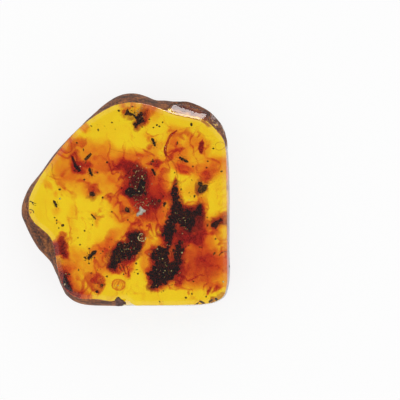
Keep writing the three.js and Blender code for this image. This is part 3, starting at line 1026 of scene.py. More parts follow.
@dataclass
class Insect:
    """One insect, with a ringed abdomen, thorax, head, six jointed legs, antennae and clear wings.

    Attributes:
        node: Name of the CAD node that it takes the place of.
        tail, head: Both ends of the body, seen from the front.
        width: Of the thorax.
        anatomy: Its proportions.
        height: Of its body, above the slab's back face.
        seed: Picks how its legs are folded.
        sides: Corners of each ring of its body.
    """

    node: str
    tail: Place
    head: Place
    width: float
    anatomy: Anatomy = Anatomy()
    height: float = 5.0
    seed: int = 1
    sides: int = 12

    @property
    def length(self) -> float:
        """Returns the distance from the tail to the head."""
        return float(np.hypot(*(np.array(self.head) - np.array(self.tail))))

    def _spine(self, shares: Array) -> Array:
        """Places points on the bent middle line of the body.

        Args:
            shares: How far along each place is, from the tail (0) to the head (1).

        Returns:
            One row of x, y and height for each share.
        """
        tail, head = np.array(self.tail), np.array(self.head)
        way = head - tail
        normal = np.array([-way[1], way[0]])
        bow = self.anatomy.bend * np.sin(np.pi * shares)
        flat = tail + shares[:, None] * way + bow[:, None] * normal
        return np.column_stack([flat, np.full(len(shares), self.height)])

    def _body(self) -> list[Part]:
        """Makes the abdomen with its rings, the thorax, the head and two eyes.

        Returns:
            The five closed parts.
        """
        form, half = self.anatomy, self.width / 2
        shares = np.linspace(0.01, form.waist, 30)
        along = (shares - shares[0]) / (shares[-1] - shares[0])
        swell = np.sin(np.pi * np.clip(along, 0.02, 0.97)) ** 0.55 * (0.75 + 0.25 * along)
        ringed = 1 - 0.14 * np.abs(np.sin(np.pi * form.rings * along)) ** 6
        abdomen = tube(self._spine(shares), form.abdomen_girth * half * swell * ringed, self.sides, 0.85)
        shares = np.linspace(form.waist - 0.03, form.neck, 14)
        along = np.linspace(0, 1, 14)
        swell = np.sin(np.pi * (0.04 + 0.92 * along)) ** 0.6
        thorax = tube(self._spine(shares), form.thorax_girth * half * swell, self.sides, 0.95)
        shares = np.linspace(form.neck - 0.01, 1.0, 10)
        along = np.linspace(0, 1, 10)
        swell = np.sin(np.pi * (0.05 + 0.9 * along)) ** 0.5
        head = tube(self._spine(shares), form.head_girth * half * swell, self.sides, 0.9)
        eye_place = self._spine(np.array([0.92, 0.97]))
        across = np.cross(eye_place[1] - eye_place[0], [0, 0, 1])
        across /= np.linalg.norm(across)
        eyes = [tube(eye_place + side * form.eye_spread * half * across + [0, 0, 0.2 * half],
                     np.full(2, form.eye_girth * half), 8) for side in (-1, 1)]
        return [abdomen, thorax, head, *eyes]

    def _limbs(self) -> list[Part]:
        """Makes six legs of four joints each, and two beaded antennae.

        Returns:
            One closed part for each limb.
        """
        form, chance = self.anatomy, np.random.default_rng(self.seed)
        spots = self._spine(np.array([form.waist + 0.02, form.thorax - 0.04, form.neck - 0.05, 0.97]))
        way = (spots[3] - spots[0]) / np.linalg.norm(spots[3] - spots[0])
        across = np.cross(way, [0, 0, 1])
        limbs = []
        for side in (-1, 1):
            for hip, lean in zip(spots[:3], LEG_LEANS):
                lean = lean + chance.uniform(-0.25, 0.25)
                reach = form.leg_length * self.length * chance.uniform(0.8, 1.15)
                lift = chance.uniform(-0.12, 0.2)
                joints = [hip]
                for out, forth, rise, share in LEG_PARTS:
                    step = side * out * across + lean * forth * way + np.array([0, 0, (rise + lift) * 0.35])
                    joints.append(joints[-1] + reach * share * step / np.linalg.norm(step))
                knots = np.array(joints)
                bones = [np.linspace(a, b, 4, endpoint=False) for a, b in zip(knots, knots[1:])]
                places = np.concatenate(bones + [knots[-1:]])
                radii = 0.05 * self.width * np.interp(np.arange(len(places)), LEG_RINGS, LEG_GIRTHS)
                limbs.append(tube(places, radii, 6))
            start = spots[3] + side * 0.2 * self.width * across
            t = np.linspace(0, 1, 14)[:, None]
            forward = t * way + side * 0.55 * t ** 1.5 * across + np.array([0, 0, 0.25]) * t
            curve = start + form.antenna_length * self.length * forward
            beads = 0.028 * self.width * (1.4 + 0.5 * np.cos(np.arange(14) * np.pi))
            limbs.append(tube(curve, np.maximum(beads, 0.012), 6))
        return limbs

    def _wings(self) -> list[Part]:
        """Makes two thin wings that lie back over the abdomen.

        Returns:
            One closed part for each wing.
        """
        form = self.anatomy
        root, tip = self._spine(np.array([form.thorax, 0.2]))
        way = (tip - root) / np.linalg.norm(tip - root)
        across = np.cross(way, [0, 0, 1])
        t = np.linspace(0, 1, 12)
        wings = []
        for side in (-1, 1):
            line = (root + side * 0.2 * self.width * across + np.array([0, 0, 0.45 * self.width])
                    + form.wing_length * self.length
                    * (t[:, None] * way + side * 0.3 * t[:, None] ** 1.3 * across))
            breadth = 0.13 * self.length * np.sin(np.pi * (0.03 + 0.94 * t) ** 0.8) ** 0.7
            wings.append(tube(line, breadth, 10, 0.08))
        return wings

    def build(self, cuticle: Material, membrane: Material) -> None:
        """Makes the insect in place of its CAD node, and its wings as a piece of their own.

        Args:
            cuticle: Material of the body and the limbs.
            membrane: Material of the wings.
        """
        body = new_piece(self.node + "_body", *joined([*self._body(), *self._limbs()]))
        dress(body, cuticle, (self.node,))
        if self.anatomy.has_wings:
            wings = new_piece(self.node + "_wings", *joined(self._wings()))
            dress(wings, membrane)


# Threads and grains, grown by Geometry Nodes

def new_group(name: str, sockets: dict[str, str]) -> tuple[NodeTree, Any, Node]:
    """Makes a Geometry Nodes group that takes a mesh and gives one back.

    Args:
        name: Name of the group.
        sockets: Kind of each further input, by its name.

    Returns:
        The group, the outputs of its input node and its output node.
    """
    tree = bpy.data.node_groups.new(name, "GeometryNodeTree")
    tree.interface.new_socket("Geometry", in_out="INPUT", socket_type="NodeSocketGeometry")
    for label, kind in sockets.items():
        tree.interface.new_socket(label, in_out="INPUT", socket_type="NodeSocket" + kind)
    tree.interface.new_socket("Geometry", in_out="OUTPUT", socket_type="NodeSocketGeometry")
    return tree, tree.nodes.new("NodeGroupInput").outputs, tree.nodes.new("NodeGroupOutput")


def add_unevenness(
    tree: NodeTree, geometry: NodeSocket, size: NodeSocket, reach: NodeSocket
) -> tuple[NodeSocket, NodeSocket]:
    """Pulls the points of a geometry about by smooth noise.

    Args:
        tree: The group.
        geometry: What is pulled about.
        size: Size of the noise.
        reach: How far it pulls.

    Returns:
        The uneven geometry, and the noise as a value from 0 to 1.
    """
    scale = add_node(tree, "ShaderNodeMath", {0: 1.0, 1: size}, operation="DIVIDE")
    place = add_node(tree, "GeometryNodeInputPosition").outputs[0]
    noise = add_node(tree, "ShaderNodeTexNoise", {
        "Vector": place, "Scale": scale.outputs[0], "Detail": 3.0})
    centred = add_node(tree, "ShaderNodeVectorMath", {0: noise.outputs["Color"], 1: (0.5, 0.5, 0.5)},
                       operation="SUBTRACT")
    offset = add_node(tree, "ShaderNodeVectorMath", {0: centred.outputs[0], "Scale": reach},
                      operation="SCALE")
    uneven = add_node(tree, "GeometryNodeSetPosition", {"Geometry": geometry, "Offset": offset.outputs[0]})
    return uneven.outputs[0], noise.outputs["Fac"]


def close_group(tree: NodeTree, geometry: NodeSocket, material: NodeSocket, output: Node) -> None:
    """Ends a group: its geometry is shaded smooth, gets its material and is handed out.

    Args:
        tree: The group.
        geometry: What it has made.
        material: What that is made of.
        output: The group's output node.
    """
    smoothed = add_node(tree, "GeometryNodeSetShadeSmooth", {"Geometry": geometry})
    dressed = add_node(tree, "GeometryNodeSetMaterial", {
        "Geometry": smoothed.outputs[0], "Material": material})
    tree.links.new(dressed.outputs[0], output.inputs[0])


def grow(piece: Object, tree: NodeTree, values: dict[str, Any]) -> None:
    """Grows a piece by a Geometry Nodes group and keeps the outcome as its plain mesh.

    Args:
        piece: Object whose mesh is the start.
        tree: The group.
        values: Values of the group's inputs, by name.
    """
    modifier = piece.modifiers.new(tree.name, "NODES")
    modifier.node_group = tree
    for item in tree.interface.items_tree:
        if item.in_out == "INPUT" and item.name in values:
            modifier[item.identifier] = values[item.name]
    graph = bpy.context.evaluated_depsgraph_get()
    mesh = bpy.data.meshes.new_from_object(piece.evaluated_get(graph))
    piece.modifiers.clear()
    piece.data = mesh


@dataclass(frozen=True)
class Thread:
    """One thread seen from the front: its points, its widths at both ends and its height."""

    points: tuple[Place, ...]
    width: float
    tip: float
    height: float = 5.4


@dataclass
class Threads:
    """Fibres, stems, loose legs or flow lines as one piece of closed, slightly uneven tubes.

    Attributes:
        name: The piece's name.
        material: What it is made of.
        slot: Its slot in the record; not used.
        threads: Where they are.
        replaces: CAD nodes that it takes the place of.
        wander: How far noise bends them.
        bend_size: Size of that noise.
        step: Distance between rings.
        sides: Corners of each ring.
    """

    name: str
    material: Material
    slot: Slot
    threads: tuple[Thread, ...]
    replaces: tuple[str, ...] = ()
    wander: float = 0.12
    bend_size: float = 0.9
    step: float = 0.1
    sides: int = 8

    def _group(self) -> NodeTree:
        """Makes the group that turns a chain of edges into an uneven tube.

        Returns:
            The group of nodes.
        """
        tree, given, output = new_group("threads", {
            "Step": "Float", "Wander": "Float", "Bend Size": "Float", "Sides": "Int", "Material": "Material"})
        curve = add_node(tree, "GeometryNodeMeshToCurve", {"Mesh": given["Geometry"]})
        smooth = add_node(tree, "GeometryNodeCurveSplineType", {"Curve": curve.outputs[0]},
                          spline_type="CATMULL_ROM")
        even = add_node(tree, "GeometryNodeResampleCurve", {
            "Curve": smooth.outputs[0], "Length": given["Step"]}, mode="LENGTH")
        bent, noise = add_unevenness(tree, even.outputs[0], given["Bend Size"], given["Wander"])
        circle = add_node(tree, "GeometryNodeCurvePrimitiveCircle", {
            "Resolution": given["Sides"], "Radius": 1.0})
        width = add_node(tree, "GeometryNodeInputNamedAttribute", {"Name": "half_width"}, data_type="FLOAT")
        knots = add_node(tree, "ShaderNodeMath", {0: noise, 1: 0.5}, operation="ADD")
        girth = add_node(tree, "ShaderNodeMath", {0: width.outputs[0], 1: knots.outputs[0]},
                         operation="MULTIPLY")
        tubes = add_node(tree, "GeometryNodeCurveToMesh", {
            "Curve": bent, "Profile Curve": circle.outputs[0], "Scale": girth.outputs[0],
            "Fill Caps": True})
        close_group(tree, tubes.outputs[0], given["Material"], output)
        return tree

    def build(self) -> None:
        """Makes the threads' chains of edges and grows them."""
        points: list[tuple[float, float, float]] = []
        edges: list[tuple[int, int]] = []
        widths: list[float] = []
        for thread in self.threads:
            start, count = len(points), len(thread.points)
            points += [(x, y, thread.height) for x, y in thread.points]
            edges += [(start + i, start + i + 1) for i in range(count - 1)]
            widths += list(np.linspace(thread.width, thread.tip, count) / 2 * MM)
        piece = new_piece(self.name, np.array(points), [])
        mesh = bpy.data.meshes.new(self.name)
        mesh.from_pydata((np.array(points) * MM).tolist(), edges, [])
        piece.data = mesh
        point_attribute(piece, "half_width", np.array(widths))
        grow(piece, self._group(), {
            "Step": self.step * MM, "Wander": self.wander * MM, "Bend Size": self.bend_size * MM,
            "Sides": self.sides, "Material": self.material})
        dress(piece, self.material, self.replaces)


@dataclass
class Grains:
    """Loose specks as one piece, each given by its place and its two sizes, seen from the front.

    Attributes:
        name: The piece's name.
        material: What it is made of.
        slot: Its slot in the record; not used.
        grains: Their x, y, width and height in the picture.
        heights: Lowest and highest place in the slab.
        lumps, lump_size: How far their surface is pulled about, and by noise of what size.
        fineness: How often the ball that they start from is divided.
        seed: Picks their heights and turns.
    """

    name: str
    material: Material
    slot: Slot
    grains: Sequence[Grain]
    heights: tuple[float, float] = (4.0, 7.5)
    lumps: float = 0.22
    lump_size: float = 0.22
    fineness: int = 2
    seed: int = 1

    def _group(self) -> NodeTree:
        """Makes the group that puts a lumpy grain on each point.

        Returns:
            The group of nodes.
        """
        tree, given, output = new_group("grains", {
            "Lumps": "Float", "Lump Size": "Float", "Fineness": "Int", "Seed": "Int", "Material": "Material"})
        points = add_node(tree, "GeometryNodeMeshToPoints", {"Mesh": given["Geometry"]})
        ball = add_node(tree, "GeometryNodeMeshIcoSphere", {
            "Radius": 1.0, "Subdivisions": given["Fineness"]})
        size = add_node(tree, "GeometryNodeInputNamedAttribute", {"Name": "half_size"},
                        data_type="FLOAT_VECTOR")
        turn = add_node(tree, "FunctionNodeRandomValue", {
            0: (0.0, 0.0, -0.5), 1: (0.0, 0.0, 0.5), "Seed": given["Seed"]}, data_type="FLOAT_VECTOR")
        placed = add_node(tree, "GeometryNodeInstanceOnPoints", {
            "Points": points.outputs[0], "Instance": ball.outputs[0], "Rotation": turn.outputs[0],
            "Scale": size.outputs[0]})
        real = add_node(tree, "GeometryNodeRealizeInstances", {"Geometry": placed.outputs[0]})
        lumpy, _ = add_unevenness(tree, real.outputs[0], given["Lump Size"], given["Lumps"])
        close_group(tree, lumpy, given["Material"], output)
        return tree

    def build(self) -> None:
        """Makes one point for each grain and grows the grains on them."""
        chance = np.random.default_rng(self.seed)
        table = np.array(self.grains)
        heights = chance.uniform(*self.heights, len(table))
        piece = new_piece(self.name, np.column_stack([table[:, :2], heights]), [])
        halves = np.column_stack([table[:, 2:] / 2, table[:, 2:].min(axis=1) / 2]) * MM
        layer = piece.data.attributes.new("half_size", "FLOAT_VECTOR", "POINT")
        layer.data.foreach_set("vector", halves.ravel())
        grow(piece, self._group(), {
            "Lumps": self.lumps * MM, "Lump Size": self.lump_size * MM, "Fineness": self.fineness,
            "Seed": self.seed, "Material": self.material})
        dress(piece, self.material)


@dataclass(frozen=True)
class Dust:
    """Crumbs strewn about a place: its middle, the cloud's half sizes, their number and their sizes."""

    x: float
    y: float
    length: float
    width: float
    count: int
    widest: float = 0.43
    finest: float = 0.09

    def grains(self, chance: np.random.Generator) -> list[Grain]:
        """Returns the crumbs' places and sizes, thickest in the middle of the cloud.

        Args:
            chance: Source of the random numbers, started from a fixed seed.

        Returns:
            One x, y, width and height for each crumb.
        """
        places = chance.normal(0.0, 0.5, (self.count, 2)) * [self.length, self.width] + [self.x, self.y]
        sizes = self.finest + (self.widest - self.finest) * chance.random((self.count, 2)) ** 3
        return [tuple(row) for row in np.column_stack([places, sizes])]


# Floor, light and camera

@dataclass
class Studio:
    """Pale floor, soft light from all sides and the camera that looks straight down.

    Attributes:
        picture_middle: Place on the slab's plane that is at the middle of the picture.
        picture_width: What the picture shows from left to right on that plane.
        slab_plane: Height of that plane.
        lens: Focal length of the camera.
        sensor: Width of its sensor.
        floor_half, floor_gap: Half the floor's width, and how far it lies below the slab.
        floor_glow, floor_albedo: How brightly it glows by itself, and what share of light it gives back.
        sides, overhead: Brightness of the light from the sides and from round the camera.
        card_azimuth, card_distance: Where the bright card hangs, as seen from the slab.
        card_half_width, card_low, card_high: Its half width and the heights of its edges.
        card_glow: Its brightness.
    """

    picture_middle: Place = (13.7, -0.05)
    picture_width: float = 74.08
    slab_plane: float = 4.6
    lens: float = 200.0
    sensor: float = 36.0
    floor_half: float = 3000.0
    floor_gap: float = 0.05
    floor_glow: float = 0.8
    floor_albedo: float = 0.22
    sides: float = 0.95
    overhead: float = 0.3
    card_azimuth: float = math.radians(14)
    card_distance: float = 260.0
    card_half_width: float = 60.0
    card_low: float = 110.0
    card_high: float = 210.0
    card_glow: float = 9.0

    def build(self) -> None:
        """Makes all of it."""
        self._floor()
        self._world()
        self._softbox()
        self._camera()
        view = bpy.context.scene.view_settings
        view.view_transform = "Standard"
        cycles = bpy.context.scene.cycles
        cycles.max_bounces = cycles.transmission_bounces = 48
        cycles.diffuse_bounces = 4
        cycles.glossy_bounces = 6

    def _floor(self) -> None:
        """Makes a pale floor that glows a little, as a lit sweep of paper does."""
        h = self.floor_half
        corners = [(-h, -h), (h, -h), (h, h), (-h, h)]
        floor = new_piece("floor", [(x, y, -self.floor_gap) for x, y in corners], [(0, 1, 2, 3)])
        material, tree, output = new_material("white_paper_sweep")
        shader = add_node(tree, "ShaderNodeBsdfPrincipled", {
            "Base Color": (*[self.floor_albedo] * 3, 1), "Roughness": 0.9, "Specular IOR Level": 0.0,
            "Emission Color": (1, 1, 1, 1), "Emission Strength": self.floor_glow})
        tree.links.new(shader.outputs[0], output.inputs["Surface"])
        floor.data.materials.append(material)

    def _world(self) -> None:
        """Lights the scene evenly from the sides and less from round the camera."""
        world = bpy.data.worlds.new("light_tent")
        bpy.context.scene.world = world
        world.use_nodes = True
        tree = world.node_tree
        tree.nodes.clear()
        way = add_node(tree, "ShaderNodeTexCoord").outputs["Generated"]
        height = add_node(tree, "ShaderNodeSeparateXYZ", {"Vector": way}).outputs["Z"]
        strength = add_node(tree, "ShaderNodeMapRange", {
            "Value": height, "From Min": 0.86, "From Max": 0.95, "To Min": self.sides,
            "To Max": self.overhead}, interpolation_type="SMOOTHSTEP")
        light = add_node(tree, "ShaderNodeBackground", {
            "Color": (1, 1, 1, 1), "Strength": strength.outputs[0]})
        output = tree.nodes.new("ShaderNodeOutputWorld")
        tree.links.new(light.outputs[0], output.inputs["Surface"])

    def _softbox(self) -> None:
        """Hangs a bright card beyond the slab's rounded end, which only shows in its reflections."""
        way = Vector((math.sin(self.card_azimuth), math.cos(self.card_azimuth), 0.0))
        aside = Vector((way.y, -way.x, 0.0)) * self.card_half_width
        feet = way * self.card_distance
        corners = [feet - aside, feet + aside, feet + aside, feet - aside]
        for corner, height in zip(corners, (self.card_low, self.card_low, self.card_high, self.card_high)):
            corner.z = height
        card = new_piece("softbox", corners, [(0, 1, 2, 3)])
        material, tree, output = new_material("softbox_light")
        glow = add_node(tree, "ShaderNodeEmission", {"Strength": self.card_glow})
        tree.links.new(glow.outputs[0], output.inputs["Surface"])
        card.data.materials.append(material)
        card.visible_camera = card.visible_diffuse = card.visible_transmission = False

    def _camera(self) -> None:
        """Points the camera straight down at the middle of the picture."""
        data = bpy.data.cameras.new("camera")
        data.lens, data.sensor_width = self.lens, self.sensor
        data.clip_start, data.clip_end = 0.01, 100.0
        camera = bpy.data.objects.new("camera", data)
        away = self.picture_width / self.sensor * self.lens
        camera.location = Vector((*self.picture_middle, self.slab_plane + away)) * MM
        bpy.context.scene.collection.objects.link(camera)
        bpy.context.scene.camera = camera


# Sub-assemblies of what is in the slab, built from the tables below

@dataclass
class SealedDebris:
    """The lumps, chips and flecks that are nodes of the CAD model, each made in place of its node.

    Attributes:
        shape: The slab that they lie in.
        slots: Record slot of each CAD node.
        finishes: Material of each slot.
        height: Where most of them lie, above the slab's back face.
        small: Width, with the margin of its soft edge, up to which a piece keeps a smooth outline.
        first_seed: Unevenness of the first piece; each further piece has the next one.
    """

    shape: SlabShape
    slots: dict[str, Slot]
    finishes: dict[Slot, Material]
    height: float = 5.0
    small: float = 6.5
    first_seed: int = 100

    def staining(self) -> list[Patch]:
        """Returns the outlines of the bark that has stained the resin round it."""
        return [patch for name, patches in CORES.items()
                if self.slots[name] is Slot.BARK and name != EDGE_NODE for patch in patches]

    def build(self) -> None:
        """Makes all of them, the large ones ragged and the small ones smooth."""
        for number, (name, patches) in enumerate(CORES.items()):
            slot = self.slots[name]
            low, high = np.array(patches[0].bounds())
            deepest = max(patch.depth for patch in patches)
            if max(high - low) > self.small:
                wander, mottle, thinnest = (0.5, 0.5), ((0.8, 0.5), (0.7, 0.22)), 0.45 * deepest
            else:
                wander, mottle, thinnest = (0.2, 0.7), ((0.3, 0.4),), 0.1
            Lens(name + "_core", self.shape, self.finishes[slot], slot, CORE_HEIGHTS.get(name, self.height),
                 patches, (name,), spacing=0.07, wander=wander, mottle=mottle, thinnest=thinnest, sway=0.1,
                 kept_in=name != EDGE_NODE, seed=self.first_seed + number).build()


@dataclass
class Stains:
    """Colour that seeped out of the bark, at several depths, and veils that the resin's flow drew out.

    Attributes:
        shape: The slab that they lie in.
        orange, red, brown: Their materials.
        halo_soft, halo_depth: Soft edge and depth of the brown halo round each lump of bark.
    """

    shape: SlabShape
    orange: Material
    red: Material
    brown: Material
    halo_soft: float = 2.2
    halo_depth: float = 0.95

    def build(self, staining: Iterable[Patch]) -> None:
        """Makes the haze, the stains and the veils.

        Args:
            staining: Outlines of the bark that has a brown halo.
        """
        shape = self.shape
        halos = tuple(Patch(patch.corners, self.halo_soft, self.halo_depth) for patch in staining)
        Lens("orange_haze", shape, self.orange, Slot.AMBER, 4.2, ORANGE_HAZE, wander=(1.2, 3.0),
             mottle=((0.75, 2.2), (0.4, 0.7))).build()
        Lens("red_stains", shape, self.red, Slot.RED_BARK, 5.7, RED_STAINS, spacing=0.15, wander=(0.7, 1.6),
             mottle=((0.7, 1.3), (0.5, 0.45)), seed=7).build()
        Lens("brown_stains", shape, self.brown, Slot.BARK, 3.6, BROWN_STAINS + halos, spacing=0.13,
             wander=(0.7, 1.0), mottle=((0.7, 1.0), (0.6, 0.4)), thinnest=0.08, deepest=1.2, seed=17).build()
        Lens("edge_stains", shape, self.brown, Slot.BARK, 5.0, EDGE_STAINS, spacing=0.12, wander=(0.4, 0.9),
             mottle=((0.6, 0.9), (0.5, 0.35)), seed=23).build()
        Wisps("orange_wisps", shape, self.red, Slot.AMBER, 6.8, ORANGE_HAZE, spacing=0.13, deepest=0.8,
              seed=31).build()


@dataclass
class LooseMatter:
    """Fibres, loose legs, flow lines, dark lines along the facet, bubbles, specks, a few painted highlights
    and dust.

    Attributes:
        slots: Record slot of each CAD node.
        finishes: Material of each slot.
        red, brown: Materials of the lines that the flow left.
        dust_seed: Picks where the dust lies.
    """

    slots: dict[str, Slot]
    finishes: dict[Slot, Material]
    red: Material
    brown: Material
    dust_seed: int = 41

    def build(self) -> None:
        """Makes the threads first, and then the grains."""
        self._threads()
        self._grains()

    def _threads(self) -> None:
        """Makes the strands in place of their CAD nodes, and the lines that have none."""
        for name, threads in STRANDS.items():
            slot = self.slots[name]
            Threads(name + "_strand", self.finishes[slot], slot, threads, (name,)).build()
        Threads("flow_and_facet_lines", self.brown, Slot.AMBER, FLOW_AND_FACET_LINES).build()
        Threads("bubble_walls", self.brown, Slot.AMBER, RINGS, wander=0.06).build()
        Threads("swirl", self.red, Slot.AMBER, SWIRL, wander=0.5).build()
        Threads("grey_curl", self.finishes[Slot.MOULD], Slot.MOULD, GREY_RING).build()

    def _grains(self) -> None:
        """Makes the specks and the dust, dark ones at all depths and pale ones near the front, a few of the
        pale ones being painted highlights.
        """
        bark, mould = self.finishes[Slot.BARK], self.finishes[Slot.MOULD]
        chance = np.random.default_rng(self.dust_seed)
        crumbs = [grain for cloud in DUST for grain in cloud.grains(chance)]
        flecks = [*PALE_FLECKS_AND_HIGHLIGHTS, *(grain for cloud in PALE_DUST for grain in cloud.grains(chance))]
        Grains("dark_specks", bark, Slot.BARK, DARK_SPECKS).build()
        Grains("bark_dust", bark, Slot.BARK, crumbs, heights=(4.0, 8.0), lumps=0.12, seed=8).build()
        Grains("pale_flecks_and_highlights", mould, Slot.MOULD, flecks, heights=(8.8, 9.35), seed=5).build()


# Where the stains and the debris are, in millimetres, seen from the front

def stain(*parts: Patch | tuple[float, ...]) -> tuple[Blot | Patch, ...]:
    """Returns the parts of a stain, of which each bare row of numbers is a blot's."""
    return tuple(part if isinstance(part, Patch) else Blot(*part) for part in parts)


ORANGE_HAZE = stain(
    # a thin haze in all of the slab
    Patch(((-19.0, 0.0), (-14.0, 8.0), (-6.0, 16.0), (1.0, 19.0), (14.0, 17.0), (19.0, 11.0), (19.0, -17.0),
        (16.0, -19.5), (-8.0, -19.5), (-14.0, -14.0)), 1.0, 0.13),
    # the wide band across the upper left
    Patch(((-13.6, 6.4), (-11.0, 11.2), (-8.0, 10.9), (-4.5, 10.4), (-1.0, 9.5), (2.5, 8.7), (5.0, 9.2),
        (6.5, 8.0), (7.4, 5.0), (7.6, 2.0), (8.0, -2.0), (7.0, -4.5), (4.0, -5.6), (1.0, -5.2), (-1.5, -3.0),
        (-3.2, 0.2), (-6.5, 0.2), (-9.5, 1.0), (-11.8, 1.2), (-12.8, 3.2), (-13.4, 5.0)), 2.2, 0.85),
    (-9.0, 9.2, 3.0, 1.3, 20, 0.3), (-9.5, 4.0, 2.2, 0.9, 10, 0.5), (-8.2, 6.6, 2.2, 1.6, 60, 0.5),
    (-3.4, 6.6, 4.0, 1.5, 0, 1.5), (-4.3, 8.3, 3.0, 1.2, -10, 0.6), (-3.2, 3.6, 2.4, 1.0, 10, 0.6),
    (1.8, 6.6, 4.2, 1.9, 0, 1.5), (-0.8, 2.2, 1.8, 3.4, 0, 0.9), (-1.0, -1.8, 1.6, 2.2, 0, 0.7),
    (3.2, -0.5, 4.6, 3.4, -20, 1.7), (3.6, -4.0, 3.6, 1.9, 0, 1.1), (6.0, 2.4, 1.7, 2.6, 0, 1.0),
    # the round eddy at the upper right, and the streaks below it
    Patch(((9.6, 12.9), (8.3, 12.0), (7.5, 10.8), (7.0, 9.3), (7.2, 7.7), (8.4, 6.3), (10.0, 5.3),
        (13.0, 4.9), (17.0, 4.8), (18.4, 6.0), (18.3, 8.2), (15.2, 8.6), (14.9, 10.9), (13.4, 12.2),
        (11.6, 12.7)), 1.6, 0.8),
    (8.6, 10.0, 1.5, 2.6, 0, 0.8), (9.8, 8.4, 2.0, 1.1, 0, 0.5), (10.6, 6.0, 2.8, 0.9, -8, 1.4),
    (14.2, 6.2, 3.4, 0.8, -6, 0.8), (16.6, 7.4, 1.8, 0.9, 0, 0.5), (5.0, 10.2, 1.7, 1.3, 60, 0.8),
    (3.9, 11.6, 1.0, 0.7, 0, 0.4),
    # round the black masses and the large cloud at the lower right
    Patch(((11.0, -0.6), (13.5, 0.8), (15.0, -1.2), (15.4, -3.0), (16.8, -2.4), (17.8, -4.0), (16.0, -6.0),
        (16.4, -8.0), (18.4, -10.5), (18.4, -14.5), (16.4, -16.2), (12.0, -16.4), (8.0, -16.0), (5.0, -17.0),
        (3.6, -15.0), (2.6, -11.8), (3.8, -8.2), (6.0, -7.4), (6.0, -3.0), (8.0, -1.0)), 1.3, 1.0),
    (14.2, -11.6, 3.4, 3.6, 0, 1.6), (13.0, -4.4, 2.0, 3.4, 0, 0.9), (9.8, -7.0, 4.0, 1.5, 0, 1.0),
    (6.9, 0.4, 2.6, 1.4, 20, 0.8), (12.4, 1.6, 1.8, 1.5, 0, 0.5), (14.2, 4.0, 1.8, 1.2, 0, 0.6),
    (17.6, -6.8, 0.9, 2.6, 0, 0.4), (16.2, -5.6, 1.4, 1.4, 0, 0.3),
    # the middle and the lower left
    Patch(((-4.4, -8.0), (-2.0, -5.4), (0.0, -5.0), (3.2, -5.4), (4.4, -7.4), (3.2, -10.2), (1.0, -12.6),
        (-2.2, -13.8), (-4.6, -12.4), (-6.6, -12.6), (-9.6, -11.6), (-10.6, -9.0), (-9.4, -8.8),
        (-7.0, -9.6)), 1.4, 0.75),
    (-4.4, -10.6, 2.0, 2.4, 0, 0.5), (-8.6, -13.6, 3.2, 2.6, -40, 0.7), (-9.6, -16.0, 2.6, 1.6, -35, 1.0),
    (-10.6, -13.0, 1.4, 3.6, 12, 1.1), (-5.6, -14.4, 2.2, 1.9, 0, 0.8), (-7.0, -17.2, 2.0, 0.7, -8, 0.8),
    (-3.2, -7.4, 0.8, 1.7, -8, 1.2), (-10.1, -4.4, 0.7, 3.0, 4, 0.35), (-9.6, -1.8, 0.6, 0.7, 0, 0.5),
    (-12.8, -2.1, 0.6, 0.6, 0, 0.9), (-12.9, 0.6, 0.6, 0.5, 0, 0.9), (-14.1, 2.3, 0.3, 0.8, 20, 0.8),
    (-4.8, -3.0, 0.5, 0.8, 10, 1.1), (-4.7, -4.5, 0.4, 0.7, 0, 0.8), (-2.8, -0.2, 0.6, 1.0, 0, 1.0),
    (-7.2, 12.8, 1.0, 0.7, 0, 0.8), (-8.9, 10.5, 0.4, 0.3, 0, 0.8), (-7.7, 3.7, 0.4, 0.3, 0, 0.8),
    (-12.7, -4.2, 0.25, 1.4, 20, 0.6), (-1.2, -15.6, 1.2, 0.7, 0, 0.5), (-10.0, -10.8, 0.8, 1.1, 0, 0.8),
    (1.4, 17.0, 2.4, 0.9, 0, 0.6), (3.9, 15.8, 1.9, 1.6, 30, 0.8), (0.6, -13.6, 0.5, 1.2, 10, 0.8),
    (-1.2, -12.4, 2.0, 1.4, 0, 0.4), (0.4, -12.0, 1.0, 1.6, 30, 0.5),
)

